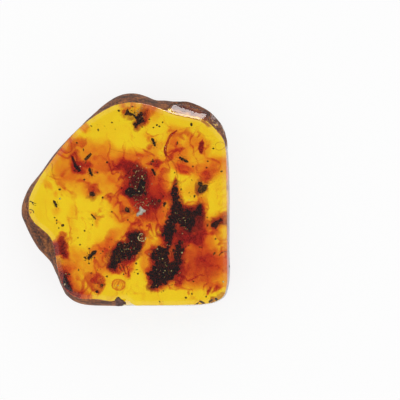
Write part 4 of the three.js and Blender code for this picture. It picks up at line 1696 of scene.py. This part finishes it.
RED_STAINS = stain(
    # bark shred and the fibres at the upper left
    Patch(((-10.4, 9.0), (-9.0, 8.8), (-8.3, 7.6), (-7.0, 7.2), (-6.4, 6.5), (-7.6, 6.2), (-7.5, 5.2),
        (-8.1, 4.4), (-9.2, 4.7), (-9.8, 5.6), (-10.1, 6.8)), 0.8, 0.55),
    (-8.8, 5.6, 1.0, 1.1, 0, 0.8), (-7.1, 6.6, 0.7, 0.5, 0, 0.4), (-5.4, 5.2, 0.7, 0.3, -10, 0.5),
    (-5.6, 1.8, 1.1, 0.8, 45, 0.7), (-5.2, 2.4, 0.5, 0.4, 0, 0.5), (-4.9, 1.2, 0.8, 0.6, 0, 0.3),
    (-1.7, 5.9, 1.0, 0.5, 15, 0.9), (-0.4, 6.6, 1.6, 0.6, 20, 0.7), (-2.4, 6.2, 2.6, 0.9, 5, 0.35),
    # the middle
    Patch(((-0.2, 7.2), (1.6, 6.6), (3.2, 5.8), (4.6, 5.4), (4.9, 3.4), (4.6, 1.4), (6.2, 0.0), (6.1, -1.4),
        (4.6, -2.2), (2.8, -2.4), (1.6, -1.4), (0.8, 0.0), (-0.5, 1.0), (-0.3, 3.4)), 1.6, 0.75),
    (2.1, 3.2, 2.2, 2.4, 0, 0.9), (3.8, -0.4, 2.4, 1.2, -20, 0.6), (5.3, -0.8, 0.9, 0.7, 0, 0.5),
    (4.0, -2.8, 1.7, 1.2, 0, 0.8), (0.9, 6.0, 1.8, 1.0, 0, 0.5), (5.6, 2.6, 1.6, 2.2, 0, 0.25),
    (-0.1, 4.6, 0.6, 1.6, 0, 0.4),
    Patch(((4.2, 6.6), (4.8, 7.4), (6.2, 7.9), (6.7, 7.0), (6.2, 6.1), (5.2, 6.3)), 0.5, 0.6),
    (7.0, 0.6, 1.8, 1.1, 20, 0.5), (6.6, 1.6, 1.2, 1.4, 0, 0.25),
    # the eddy, its half-moon scale and the streak under it
    (10.6, 5.9, 1.8, 0.5, -8, 0.35), (8.2, 8.9, 0.6, 1.3, 10, 0.2), (9.6, 10.5, 0.2, 0.5, -10, 0.5),
    (4.5, 9.9, 0.6, 0.6, 0, 0.6), (4.3, 11.2, 0.5, 0.3, 0, 0.3), (13.0, 9.0, 0.4, 0.2, 0, 0.3),
    (14.6, 4.2, 1.1, 0.8, 40, 0.5), (15.6, 3.9, 0.9, 0.4, 10, 0.3), (14.6, 5.0, 0.4, 0.5, 0, 0.3),
    # round the black masses
    Patch(((9.2, 3.6), (8.4, 2.4), (7.6, 0.8), (7.6, -2.2), (7.3, -4.0), (6.4, -6.6), (7.2, -8.2),
        (4.8, -8.8), (4.2, -10.4), (4.6, -12.0), (3.8, -12.8), (4.2, -14.8), (4.1, -16.6), (6.0, -16.6),
        (8.6, -15.6), (10.6, -15.4), (11.0, -12.0), (11.0, -8.6), (13.4, -8.2), (14.9, -6.4), (14.0, -3.4),
        (14.6, -2.4), (14.2, -0.7), (12.6, -1.4), (10.8, -1.4), (10.3, 0.8), (9.9, 2.6)), 0.9, 0.55),
    (11.0, -6.4, 3.0, 1.4, 0, 0.7), (12.2, -7.4, 1.6, 0.7, -15, 0.7), (13.8, -6.0, 1.0, 2.6, -10, 0.45),
    (10.0, -14.2, 1.1, 1.7, 0, 0.7), (10.0, -6.2, 0.8, 0.5, -40, 0.5), (11.2, -7.0, 1.9, 0.7, -10, 0.5),
    (9.4, 3.7, 0.25, 0.9, -20, 0.6), (14.2, -11.8, 3.0, 3.4, 0, 0.42), (15.2, -12.4, 1.6, 2.2, 20, 0.35),
    (12.2, -12.0, 2.0, 3.6, 0, 0.25), (16.9, -3.6, 1.2, 0.6, 50, 0.6), (15.8, -3.6, 0.5, 0.3, 30, 0.4),
    (16.2, -4.8, 0.7, 0.7, 0, 0.3), (15.2, -16.3, 0.25, 0.9, -35, 0.8), (16.4, -16.2, 0.3, 0.8, -45, 0.8),
    (12.1, -17.2, 0.25, 0.4, 0, 0.5),
    # the debris below the middle, and the cluster at the lower left
    Patch(((1.7, -5.2), (0.6, -6.2), (-0.2, -7.6), (-1.8, -8.0), (-2.8, -10.4), (-3.3, -12.2), (-2.4, -13.3),
        (-0.8, -13.2), (0.2, -12.0), (1.6, -10.9), (3.0, -9.2), (3.5, -7.8), (2.6, -6.0)), 0.7, 0.45),
    (0.9, -10.0, 1.4, 1.2, 40, 0.45), (0.8, -6.6, 0.8, 1.2, 0, 0.3), (-2.4, -12.4, 0.9, 0.5, -20, 0.6),
    Patch(((-7.5, -13.7), (-6.2, -13.6), (-5.2, -13.3), (-4.2, -14.2), (-3.8, -15.6), (-4.4, -16.8),
        (-5.2, -17.2), (-6.1, -16.4), (-6.6, -15.4), (-7.4, -14.7)), 0.7, 0.35),
    (-4.5, -15.5, 0.6, 0.7, 0, 0.6), (-5.4, -14.3, 0.9, 0.5, 20, 0.3), (-5.3, -16.6, 0.6, 0.4, 0, 0.5),
    (-3.1, -7.4, 0.5, 1.5, -8, 0.25), (-10.4, -13.8, 1.0, 3.4, 15, 0.3), (-9.2, -16.2, 2.4, 1.0, -35, 0.3),
    # the scale at the left
    Patch(((-12.5, -6.8), (-11.7, -6.0), (-11.0, -6.4), (-10.5, -7.4), (-10.3, -8.6), (-10.4, -10.2),
        (-11.2, -10.9), (-12.2, -10.9), (-12.8, -10.2), (-12.6, -8.4)), 0.6, 0.6),
    (-11.7, -10.0, 1.0, 0.9, 0, 0.9), (-11.4, -6.2, 0.6, 0.3, 0, 0.3),
    # the tangle at the top
    Patch(((3.2, 17.6), (5.5, 17.2), (5.6, 16.4), (4.7, 15.0), (3.6, 13.9), (2.2, 13.2), (1.8, 12.8),
        (1.4, 13.8), (2.0, 15.2), (3.0, 16.4)), 0.7, 0.35),
    (4.2, 17.1, 1.3, 0.5, -5, 0.4), (3.6, 14.6, 0.8, 0.5, 60, 0.3), (-0.3, 15.8, 0.6, 0.4, -20, 0.6),
    (7.0, -19.0, 0.6, 0.25, 0, 0.6), (-2.8, 0.3, 0.2, 0.6, 20, 0.6), (0.6, -14.0, 0.25, 0.6, 10, 0.5),
    (-17.6, -3.0, 0.3, 0.8, -30, 0.5),
)

BROWN_STAINS = stain(
    Patch(((0.3, 1.2), (0.6, 2.8), (0.7, 4.6), (1.2, 6.2), (2.6, 6.4), (3.5, 5.2), (4.2, 4.0), (4.0, 2.4),
        (3.6, 0.8), (2.2, 0.2), (1.0, 0.7)), 1.8, 0.75),
    (1.8, 2.2, 1.5, 1.0, 20, 0.5), (2.4, 4.4, 1.0, 1.4, 0, 0.4),
    # in the lower left, at the lower right corner and beside the black masses
    Patch(((-12.8, -10.6), (-11.6, -11.4), (-10.8, -14.0), (-9.8, -16.4), (-7.8, -17.9), (-10.5, -17.8),
        (-12.0, -15.0), (-12.8, -12.5)), 1.2, 0.5),
    Patch(((13.4, -18.5), (15.5, -17.8), (17.6, -16.9), (18.2, -17.2), (17.6, -18.5), (15.2, -19.0)), 0.6,
        0.5),
    Patch(((9.4, -1.6), (11.5, -1.6), (13.4, -0.6), (14.4, -1.0), (14.6, -3.2), (14.0, -5.4), (12.0, -5.8),
        (9.6, -5.2)), 1.3, 0.7),
    (5.8, -0.4, 1.4, 0.7, -20, 0.35), (2.6, -0.6, 1.0, 1.0, 0, 0.2), (12.2, -4.8, 2.6, 2.2, 0, 0.4),
    (-9.0, 6.0, 0.5, 1.2, 20, 0.5), (-2.3, -12.5, 1.0, 0.5, -20, 0.5), (-4.5, -15.5, 0.5, 0.6, 0, 0.4),
    (-5.2, -16.6, 0.5, 0.4, 0, 0.4), (-11.6, -9.0, 0.6, 1.5, 0, 0.4), (3.0, 15.4, 1.0, 1.0, 0, 0.4),
    (16.6, -4.2, 0.8, 0.6, 40, 0.5), (5.4, 7.1, 0.5, 0.4, 0, 0.4), (-6.0, 1.3, 0.6, 0.5, 0, 0.3),
    (14.0, 2.2, 1.0, 0.9, 0, 0.4), (15.2, -16.3, 0.3, 0.7, -35, 0.5), (6.0, -13.0, 2.6, 1.6, 60, 0.3),
)

# brown under the rim, where the skin shows through from below
EDGE_STAINS = stain(
    Patch(((6.6, 16.9), (7.6, 16.0), (9.4, 15.5), (11.4, 15.1), (13.6, 14.5), (15.2, 13.2), (16.4, 12.4),
        (16.6, 13.4), (15.6, 15.0), (13.8, 16.4), (11.6, 17.2), (9.0, 17.4)), 0.8, 0.8),
    (10.6, 15.9, 2.6, 0.4, -14, 0.9), (14.8, 14.9, 1.2, 0.7, -45, 0.9),
    Patch(((-13.1, -9.5), (-12.0, -11.0), (-11.0, -13.5), (-9.8, -16.2), (-7.8, -17.9), (-5.0, -18.4),
        (-8.6, -18.7), (-11.6, -16.6), (-12.9, -14.0), (-13.6, -11.0)), 1.0, 0.55),
    Patch(((-17.9, 1.0), (-17.5, -1.5), (-17.2, -2.6), (-16.2, -4.2), (-14.6, -5.6), (-13.5, -7.5),
        (-14.2, -7.6), (-15.6, -6.0), (-17.4, -4.2), (-18.3, -1.5)), 0.5, 0.5),
)

# lumps, chips and flecks that are nodes of the CAD model, by node
CORE_HEIGHTS = {"pale_fleck": 9.6, EDGE_NODE: 9.2}
CORES: dict[str, tuple[Patch, ...]] = {
    "debris_upper": (
        Patch(((9.4, 3.5), (8.8, 2.7), (8.6, 1.8), (8.3, 1.0), (8.5, 0.0), (8.9, -0.7), (8.7, -1.5),
            (8.3, -2.2), (8.0, -3.0), (7.9, -3.7), (7.4, -4.5), (7.0, -5.2), (6.9, -6.0), (6.4, -6.4),
            (7.0, -7.0), (7.4, -7.6), (7.7, -8.4), (8.3, -8.4), (8.4, -7.6), (8.7, -6.8), (9.2, -5.9),
            (9.3, -5.4), (8.9, -5.0), (8.9, -4.3), (9.8, -4.0), (10.2, -4.8), (11.0, -5.2), (11.9, -5.7),
            (12.4, -5.2), (12.7, -4.2), (12.9, -3.2), (13.6, -2.8), (14.1, -2.5), (14.0, -1.8), (13.8, -1.1),
            (13.5, -0.8), (13.3, -1.5), (12.6, -1.8), (11.5, -1.9), (10.9, -2.1), (10.4, -1.5), (10.1, -0.5),
            (9.8, 0.3), (9.6, 1.2), (9.3, 2.3), (9.6, 3.1)), 1.1, 1.6),
    ),
    "debris_lower": (
        Patch(((7.9, -8.6), (6.9, -8.7), (6.2, -8.7), (5.4, -9.0), (4.8, -9.5), (4.6, -10.3), (4.8, -11.0),
            (5.4, -11.2), (5.7, -11.8), (4.9, -12.6), (4.6, -13.2), (3.9, -13.6), (4.4, -14.2), (4.8, -14.9),
            (4.7, -15.6), (4.5, -16.3), (5.0, -16.5), (5.7, -16.2), (6.4, -15.8), (7.3, -15.6), (8.1, -15.0),
            (8.9, -14.3), (9.6, -13.3), (10.1, -12.3), (10.2, -11.3), (10.4, -10.2), (10.6, -9.2),
            (10.5, -8.2), (10.5, -7.5), (10.2, -7.3), (9.9, -8.0), (9.2, -8.4), (8.7, -9.0), (8.6, -10.2),
            (8.8, -11.3), (8.2, -11.9), (7.9, -11.0), (7.9, -9.6)), 1.1, 1.6),
    ),
    "debris_centre": (
        Patch(((2.9, 3.6), (3.4, 3.2), (3.4, 2.5), (3.2, 1.7), (2.8, 1.1), (2.1, 1.2), (2.3, 2.0),
            (2.5, 2.6), (2.6, 3.2)), 0.5, 1.2),
        Patch(((0.0, 1.6), (0.7, 2.0), (1.4, 1.9), (1.7, 1.2), (1.0, 0.5), (0.6, 0.8), (0.0, 1.2)), 0.5,
            1.2),
    ),
    "debris_low_centre": (
        Patch(((-1.6, -8.3), (-0.9, -8.2), (0.1, -8.2), (0.8, -9.0), (0.4, -9.9), (-0.4, -10.6),
            (-1.3, -11.2), (-1.6, -12.0), (-2.3, -12.4), (-2.9, -11.8), (-2.8, -10.9), (-2.3, -9.8),
            (-1.8, -8.9)), 0.5, 1.3),
        Patch(((2.0, -5.4), (1.5, -6.2), (0.8, -6.6), (0.5, -7.3), (1.0, -7.8), (1.8, -8.0), (2.2, -9.0),
            (1.6, -10.0), (2.2, -10.2), (2.8, -9.2), (3.0, -8.2), (2.5, -7.2), (2.2, -6.3)), 0.5, 0.9),
        Patch(((-3.0, -12.6), (-2.8, -10.4), (-1.6, -8.4), (0.2, -7.8), (1.2, -6.2), (2.6, -6.0),
            (3.2, -8.0), (2.6, -9.6), (0.9, -10.8), (-0.6, -11.6), (-1.8, -13.0)), 1.8, 0.9),
    ),
    "debris_top": (
        Patch(((-0.2, 15.9), (0.3, 16.3), (1.1, 15.8), (2.1, 15.6), (2.9, 16.2), (3.4, 15.7), (3.2, 15.0),
            (3.4, 14.6), (2.6, 14.1), (2.1, 13.4), (1.7, 13.2), (1.6, 13.8), (1.7, 14.4), (2.2, 15.0),
            (1.3, 15.2), (0.6, 15.4), (0.0, 15.7)), 0.5, 1.0),
    ),
    "pellet_pair": (
        Patch(((13.3, 2.7), (13.5, 3.2), (14.0, 3.3), (14.1, 2.9), (13.7, 2.5)), 0.3, 0.8),
        Patch(((13.3, 1.5), (13.6, 2.3), (14.3, 2.7), (15.0, 2.6), (15.0, 2.0), (14.4, 1.5), (13.6, 1.3)),
            0.3, 1.2),
    ),
    "bark_chip_right": (
        Patch(((17.3, -3.4), (16.9, -3.8), (16.5, -4.1), (15.9, -4.4), (15.9, -4.9), (16.3, -5.0),
            (16.5, -5.3), (16.7, -4.8), (17.0, -4.2), (17.4, -3.7)), 0.3, 0.8),
    ),
    "bark_shred_left": (
        Patch(((-10.0, 8.0), (-9.7, 7.9), (-9.2, 6.8), (-8.7, 6.1), (-8.3, 5.4), (-8.6, 5.1), (-9.2, 5.6),
            (-9.6, 6.5), (-9.9, 7.3)), 0.3, 1.3),
    ),
    "red_scale_left": (
        Patch(((-12.1, -6.8), (-11.6, -6.3), (-11.2, -6.8), (-10.8, -7.8), (-10.6, -8.8), (-10.5, -10.0),
            (-11.2, -10.7), (-12.0, -10.6), (-12.4, -9.8), (-12.4, -8.4)), 0.8, 0.5),
    ),
    "round_grain": (
        Patch(((-6.6, 1.1), (-6.4, 1.45), (-6.0, 1.5), (-5.7, 1.2), (-5.75, 0.8), (-6.1, 0.6), (-6.5, 0.75)),
            0.2, 0.9),
    ),
    "seed": (
        Patch(((-0.1, -1.6), (0.2, -1.4), (0.6, -1.8), (0.75, -2.4), (0.3, -2.3), (-0.1, -2.0)), 0.2, 0.8),
    ),
    "red_scale_right": (
        Patch(((14.2, 11.1), (13.6, 10.5), (13.4, 9.6), (13.6, 8.7), (14.0, 8.5), (14.3, 9.4), (14.4, 10.4)),
            0.5, 0.7),
    ),
    "edge_lump": (
        Patch(((-1.8, -18.3), (-1.5, -17.9), (-1.2, -17.8), (-0.8, -18.1), (-0.4, -18.5), (-0.2, -18.7),
            (0.1, -18.9), (0.1, -19.1), (-0.3, -19.2), (-0.9, -19.35), (-1.6, -19.3), (-1.75, -18.8)), 0.3,
            1.5),
    ),
    "pale_fleck": (
        Patch(((2.0, -2.5), (2.3, -2.2), (2.6, -2.1), (2.6, -1.6), (2.8, -1.2), (3.1, -1.4), (3.2, -1.7),
            (3.8, -1.9), (3.7, -2.3), (3.2, -2.3), (3.0, -2.8), (2.5, -2.7), (2.2, -3.1), (2.0, -2.9)), 0.16,
            0.7),
    ),
}


# threads that are nodes of the CAD model, by node
STRANDS: dict[str, tuple[Thread, ...]] = {
    "plant_fibre": (
        Thread(((9.5, 12.8), (8.9, 12.3), (8.4, 12.0), (8.0, 11.4), (7.8, 10.8), (7.5, 10.0), (7.3, 9.3),
            (7.4, 8.6), (7.5, 8.0)), 0.36, 0.6),
        Thread(((8.6, 12.0), (7.9, 11.1), (7.5, 10.2), (7.2, 9.4), (7.3, 8.4)), 0.26, 0.5, 5.6),
    ),
    "stick_upper_left": (
        Thread(((-7.5, 7.3), (-6.9, 7.9), (-6.3, 8.5)), 0.62, 0.5),
    ),
    "stem_low": (
        Thread(((-0.65, -11.8), (-0.3, -12.7), (0.0, -13.7)), 0.42, 0.28),
        Thread(((-1.2, -12.0), (-0.9, -12.8), (-0.4, -13.4)), 0.34, 0.2),
        Thread(((0.2, -12.2), (0.5, -13.2), (0.55, -14.0)), 0.28, 0.18),
    ),
    "leg_right": (
        Thread(((17.1, -10.3), (17.4, -9.8), (18.0, -9.5), (18.6, -9.55)), 0.13, 0.08),
    ),
    "leg_left_upper": (
        Thread(((-17.2, -0.1), (-16.8, -0.5), (-16.3, -0.8)), 0.16, 0.1),
        Thread(((-16.8, -0.5), (-16.7, -0.9), (-16.3, -1.1)), 0.1, 0.06),
    ),
    "leg_left_lower": (
        Thread(((-17.4, -1.3), (-17.0, -1.7), (-16.7, -2.0), (-16.6, -2.4)), 0.13, 0.08),
        Thread(((-17.0, -1.7), (-17.1, -2.1), (-16.8, -2.3)), 0.1, 0.06),
    ),
}

# faint lines that the resin's flow left, two dark brown lines along the lower edge of the facet, and the
# walls of bubbles
FLOW_AND_FACET_LINES: tuple[Thread, ...] = (
    Thread(((7.6, 8.0), (7.9, 7.7), (8.5, 7.1), (9.0, 6.5), (9.3, 5.7), (9.4, 4.8), (9.6, 4.1), (9.4, 3.6)),
        0.24, 0.2),
    Thread(((8.4, 7.4), (9.3, 6.6), (10.0, 5.6), (10.2, 4.6), (10.1, 3.4), (10.0, 2.5)), 0.12, 0.1),
    Thread(((8.0, 8.4), (9.0, 7.4), (10.6, 6.9), (12.6, 6.9), (14.4, 7.6)), 0.12, 0.08),
    Thread(((9.9, 12.8), (11.4, 13.2), (13.2, 12.7), (14.5, 11.4), (14.9, 9.8)), 0.1, 0.08),
    Thread(((9.2, 6.0), (11.0, 5.2), (13.2, 5.0), (15.6, 5.4), (17.6, 6.4)), 0.14, 0.08),
    Thread(((18.3, 6.5), (18.35, 3.0), (18.3, -1.0)), 0.1, 0.08),
    Thread(((18.35, -5.6), (18.3, -9.0), (18.4, -13.0)), 0.22, 0.14),
    Thread(((-5.9, -15.8), (-5.5, -16.6), (-5.9, -17.3)), 0.14, 0.06),
    Thread(((-13.1, 6.3), (-13.4, 5.0), (-12.9, 3.5), (-12.3, 2.0)), 0.2, 0.1),
    Thread(((-3.0, 9.4), (0.0, 8.6), (3.0, 8.0), (5.4, 8.6)), 0.16, 0.08),
    # the next two threads are dark brown lines along the lower edge of the facet
    Thread(((5.9, 16.9), (7.2, 16.2), (8.6, 15.6), (10.2, 15.2), (12.0, 14.8), (13.8, 14.3), (15.2, 13.3)),
        0.4, 0.24, 8.0),
    Thread(((8.4, 16.0), (10.0, 15.6), (11.8, 15.2), (13.6, 14.9), (14.8, 14.2)), 0.34, 0.2, 7.4),
)


def ring(x: float, y: float, radius: float, width: float, stretch: float = 1.0) -> Thread:
    """Lays a thread once round a place, as the wall of a bubble runs.

    Args:
        x, y: The middle.
        radius: Of the ring, from the middle to its top.
        width: Of the thread.
        stretch: How many times wider than high the ring is.

    Returns:
        The closed thread.
    """
    turns = np.linspace(0.0, 2 * np.pi, 22)
    return Thread(tuple((x + stretch * radius * float(np.cos(t)), y + radius * float(np.sin(t)))
                        for t in turns), width, width, 6.5)


RINGS: tuple[Thread, ...] = (
    ring(17.1, 9.8, 0.7, 0.16), ring(16.2, 9.4, 0.35, 0.08), ring(-9.0, 4.0, 0.4, 0.06),
)
SWIRL: tuple[Thread, ...] = (
    ring(-1.3, -15.6, 0.9, 0.36, 1.3), ring(-1.3, -15.65, 0.6, 0.2, 1.3), ring(-1.2, -15.7, 0.3, 0.16, 1.2),
)

# specks, crumbs, pale flecks and painted highlights: x, y, width and height of each
DARK_SPECKS: tuple[Grain, ...] = (
    (-12.1, 1.9, 0.53, 0.39), (-11.5, -4.7, 0.62, 0.53), (-12.3, -5.2, 0.28, 0.25), (-7.5, -5.7, 0.35, 0.35),
    (-6.1, -4.6, 0.28, 0.28), (-3.4, 6.9, 0.42, 0.42), (-5.1, 5, 0.28, 0.25), (-7.6, 3.7, 0.39, 0.32),
    (-8.9, 10.4, 0.35, 0.32), (-7.8, 9.2, 0.25, 0.53), (-5, 12.8, 0.28, 0.53), (-1.2, 16.2, 0.42, 0.35),
    (-2.5, 14.2, 0.28, 0.28), (5.8, 13.7, 0.39, 0.35), (6.2, 13.5, 0.42, 0.32), (6.8, 14.2, 0.28, 0.32),
    (5.1, 13.3, 0.32, 0.28), (12.1, 13.7, 0.42, 0.6), (9.5, 10.4, 0.26, 0.74), (15.1, 7.1, 0.35, 0.28),
    (12.4, 6.1, 0.32, 0.32), (14.9, 5.9, 0.32, 0.35), (16.1, 9.4, 0.39, 0.32), (17.5, 5.2, 0.42, 0.35),
    (12.7, 0.7, 0.39, 0.39), (-2.5, -2.2, 0.28, 0.32), (0.4, -3.7, 0.32, 0.28), (-6.7, -9, 0.35, 0.25),
    (-8.4, -8.3, 0.35, 0.28), (-8.7, -7, 0.25, 0.25), (-4.2, -9.5, 0.28, 0.32), (-4.6, -9.9, 0.25, 0.25),
    (-3.4, -14.1, 0.35, 0.35), (-8.6, -12.9, 0.28, 0.42), (-6.3, -13.5, 0.42, 0.25), (2, -11.7, 0.42, 0.39),
    (-11.8, -12.4, 0.39, 0.56), (-10.3, -13.7, 0.39, 0.39), (12.5, -15, 0.32, 0.28),
    (12.2, -17.3, 0.25, 0.42), (14.8, -17.7, 0.32, 0.28), (11.1, -17.9, 0.46, 0.35),
    (16.5, -7.2, 0.28, 0.35), (18.1, -5.1, 0.21, 0.28), (18.5, -5.7, 0.21, 0.32), (-14.9, -5.1, 0.28, 0.25),
    (-14.1, -5.6, 0.28, 0.25), (-13, -3.3, 0.25, 0.28), (-12.7, -3.8, 0.28, 0.39), (-12.6, -4.3, 0.25, 0.28),
    (-4.2, 0.4, 0.39, 0.42), (6.2, -0.2, 0.7, 0.6), (7.2, -0.7, 0.62, 0.6), (5, 7, 0.53, 0.42),
    (4.1, -13.8, 0.44, 0.44), (2, -12.9, 0.53, 0.21), (2.3, -13.6, 0.35, 0.35), (11.6, -8.4, 0.28, 0.28),
    (13.6, -8.7, 0.28, 0.28), (15.1, -4.7, 0.32, 0.6), (15, -3.3, 0.28, 0.25), (-7.6, -10.6, 0.39, 0.32),
    (-7.3, -10.8, 0.32, 0.28), (-6.7, -11.7, 0.39, 0.25), (-4.3, -15.7, 0.53, 0.6),
    (-5.3, -16.8, 0.53, 0.39), (10.2, -18.7, 0.39, 0.32), (16.3, -9.9, 0.32, 0.77), (14, -8.7, 0.25, 0.25),
    (18.9, -12.6, 0.3, 1.2), (18.85, -13.8, 0.3, 0.9), (-6.2, 13.4, 0.3, 0.2), (1.3, 16.9, 0.5, 0.2),
    (12.4, -2.6, 0.5, 0.3), (10.2, 1.9, 0.3, 0.4), (9.0, 5.0, 0.2, 0.3), (-12.75, -1.1, 0.3, 0.4),
    (14.2, -18.6, 1.6, 0.3), (13.1, -18.7, 0.8, 0.22), (15.6, -18.3, 0.9, 0.3), (16.6, -18.0, 0.7, 0.35),
)
PALE_FLECKS_AND_HIGHLIGHTS: tuple[Grain, ...] = (
    (2.2, 6.2, 0.3, 0.25), (3.1, 4.3, 0.32, 0.3), (0.85, 4.1, 0.24, 0.2), (4.9, 2.9, 0.25, 0.22),
    (1.9, 5.0, 0.2, 0.25), (1.7, -1.2, 0.16, 0.16), (2.4, -0.6, 0.2, 0.16), (3.2, -0.9, 0.18, 0.2),
    (3.9, 0.2, 0.2, 0.16), (4.3, -1.0, 0.18, 0.16), (2.9, 0.8, 0.16, 0.18), (3.6, 1.6, 0.18, 0.16),
    (1.4, 0.9, 0.16, 0.14), (5.0, -0.2, 0.16, 0.16), (2.0, 2.0, 0.14, 0.14), (5.9, -9.0, 0.3, 0.2),
    (6.85, -10.8, 0.28, 0.2), (10.4, -9.7, 0.34, 0.26), (8.45, -13.0, 0.24, 0.2), (10.0, -13.4, 0.34, 0.14),
    # painted highlights on the lump at the top: (2.3, 16.2) at the end of the next line and (3.1, 16.6) at
    # the start of the one after
    (10.5, -6.2, 0.26, 0.2), (10.7, -3.3, 0.4, 0.1), (-8.2, 6.1, 0.3, 0.22), (2.3, 16.2, 0.24, 0.2),
    (3.1, 16.6, 0.24, 0.18), (7.3, 9.7, 0.16, 0.2), (7.4, 9.1, 0.14, 0.2), (8.6, 11.9, 0.16, 0.12),
    # painted highlight, the bright spot of a bubble: (-11.0, -15.5) on the next line
    (-11.9, 0.2, 0.4, 0.35), (-10.8, -13.6, 0.2, 0.2), (-11.0, -15.5, 0.28, 0.42), (7.6, -12.2, 0.16, 0.14),
    (6.2, -13.6, 0.14, 0.14), (9.2, -2.4, 0.14, 0.14), (11.8, -3.6, 0.16, 0.12), (3.2, -13.6, 0.12, 0.12),
    # painted highlight in the middle of the swirl: (-1.3, -15.7) on the next line
    (2.5, 7.6, 0.12, 0.12), (-1.0, 5.0, 0.12, 0.12), (4.2, 7.9, 0.12, 0.12), (-1.3, -15.7, 0.5, 0.14),
    (17.9, -15.0, 0.3, 0.4), (0.2, -9.0, 0.2, 0.14), (-0.6, -9.4, 0.14, 0.2), (3.4, -7.6, 0.3, 0.2),
    (2.45, -6.75, 0.3, 0.24), (2.4, -7.1, 0.26, 0.3), (2.62, -7.45, 0.3, 0.24), (3.0, -7.6, 0.26, 0.22),
    (3.4, -7.5, 0.3, 0.26), (3.7, -7.2, 0.24, 0.3), (3.75, -6.9, 0.22, 0.2), (3.0, -6.5, 0.2, 0.2),
    (2.7, -6.45, 0.24, 0.2), (3.2, -7.0, 0.18, 0.2), (4.2, -6.9, 0.2, 0.16), (1.2, -7.6, 0.2, 0.2),
    (1.6, -9.0, 0.14, 0.2),
)

# clouds of dust round the bark, dark and pale
DUST: tuple[Dust, ...] = (
    Dust(2.2, 2.6, 2.4, 2.8, 80, 0.6), Dust(5.4, -0.6, 2.2, 1.2, 44), Dust(-1.0, -9.8, 2.6, 2.2, 44),
    Dust(9.5, -2.0, 3.2, 3.6, 50), Dust(7.0, -12.5, 3.6, 3.6, 50), Dust(2.6, 15.4, 2.0, 1.6, 16),
    Dust(-5.2, -15.2, 1.6, 1.8, 20), Dust(14.0, 2.2, 1.2, 1.2, 8), Dust(-6.6, -10.9, 1.2, 0.9, 12),
    Dust(5.2, 7.0, 1.2, 0.8, 10), Dust(-8.6, 6.0, 1.6, 1.6, 12), Dust(0.5, -12.8, 1.2, 1.0, 12),
)
PALE_DUST: tuple[Dust, ...] = (
    Dust(2.5, 3.2, 1.7, 3.4, 34, 0.26), Dust(2.6, -0.8, 2.4, 1.8, 30, 0.24),
    Dust(9.6, -3.0, 3.0, 3.0, 16, 0.22), Dust(7.4, -12.0, 3.4, 3.4, 18, 0.22),
    Dust(2.6, 16.0, 1.6, 1.2, 12, 0.24), Dust(0.6, -8.6, 2.2, 1.8, 16, 0.22),
)

# the grey curl on the lump below the middle
GREY_RING: tuple[Thread, ...] = (
    Thread(((2.4, -6.7), (2.35, -7.0), (2.5, -7.3), (3.1, -7.6), (3.7, -7.3), (3.8, -6.9)), 0.16, 0.1, 9.3),
    Thread(((2.6, -6.3), (2.9, -6.2), (3.3, -6.3)), 0.16, 0.1, 9.3),
    Thread(((2.7, -7.0), (3.0, -7.2), (3.3, -7.0)), 0.12, 0.1, 9.3),
)

# the insects, from tail to head
FIRST_LEG_SEED = 3
LONG_LEGGED = Anatomy(leg_length=1.0, antenna_length=0.5, has_wings=False, bend=0.0)
INSECTS: tuple[Insect, ...] = (
    Insect("insect_low_left", (-5.3, -9.4), (-6.9, -11.0), 0.72, Anatomy(bend=-0.08)),
    Insect("insect_top", (4.75, 11.4), (5.4, 9.85), 0.5),
    Insect("insect_centre", (4.75, 5.75), (5.45, 4.45), 0.42),
    Insect("insect_right", (11.6, 6.9), (9.85, 7.85), 0.5, Anatomy(bend=0.02)),
    Insect("insect_upper_left", (-6.65, 5.95), (-6.1, 4.4), 0.52, Anatomy(bend=-0.1)),
    Insect("insect_left", (-13.35, -0.1), (-12.7, -1.4), 0.45),
    Insect("insect_long_legs", (-6.4, -2.6), (-5.5, -3.6), 0.3, LONG_LEGGED),
)


def main() -> None:
    """Builds the slab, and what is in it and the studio."""
    logging.basicConfig(level=logging.INFO, format="%(name)s: %(message)s")
    shape = SlabShape()
    ClearSlab(shape).build()
    slots = {entry["node"]: Slot(entry["material_slot"]) for entry in frame["record"]["subparts"]}
    orange, red, brown = (finish.build() for finish in (ORANGE_STAIN, RED_STAIN, BROWN_STAIN))
    finishes = {Slot.BARK: BARK.build(), Slot.RED_BARK: RED_BARK.build(), Slot.CHITIN: CHITIN.build(),
                Slot.MOULD: MOULD.build()}
    debris = SealedDebris(shape, slots, finishes)
    Stains(shape, orange, red, brown).build(debris.staining())
    debris.build()
    LooseMatter(slots, finishes, red, brown).build()
    membrane = WING.build()
    for number, insect in enumerate(INSECTS):
        insect.seed = FIRST_LEG_SEED + number
        insect.build(finishes[Slot.CHITIN], membrane)
    Studio().build()


if __name__ == "__main__":
    main()
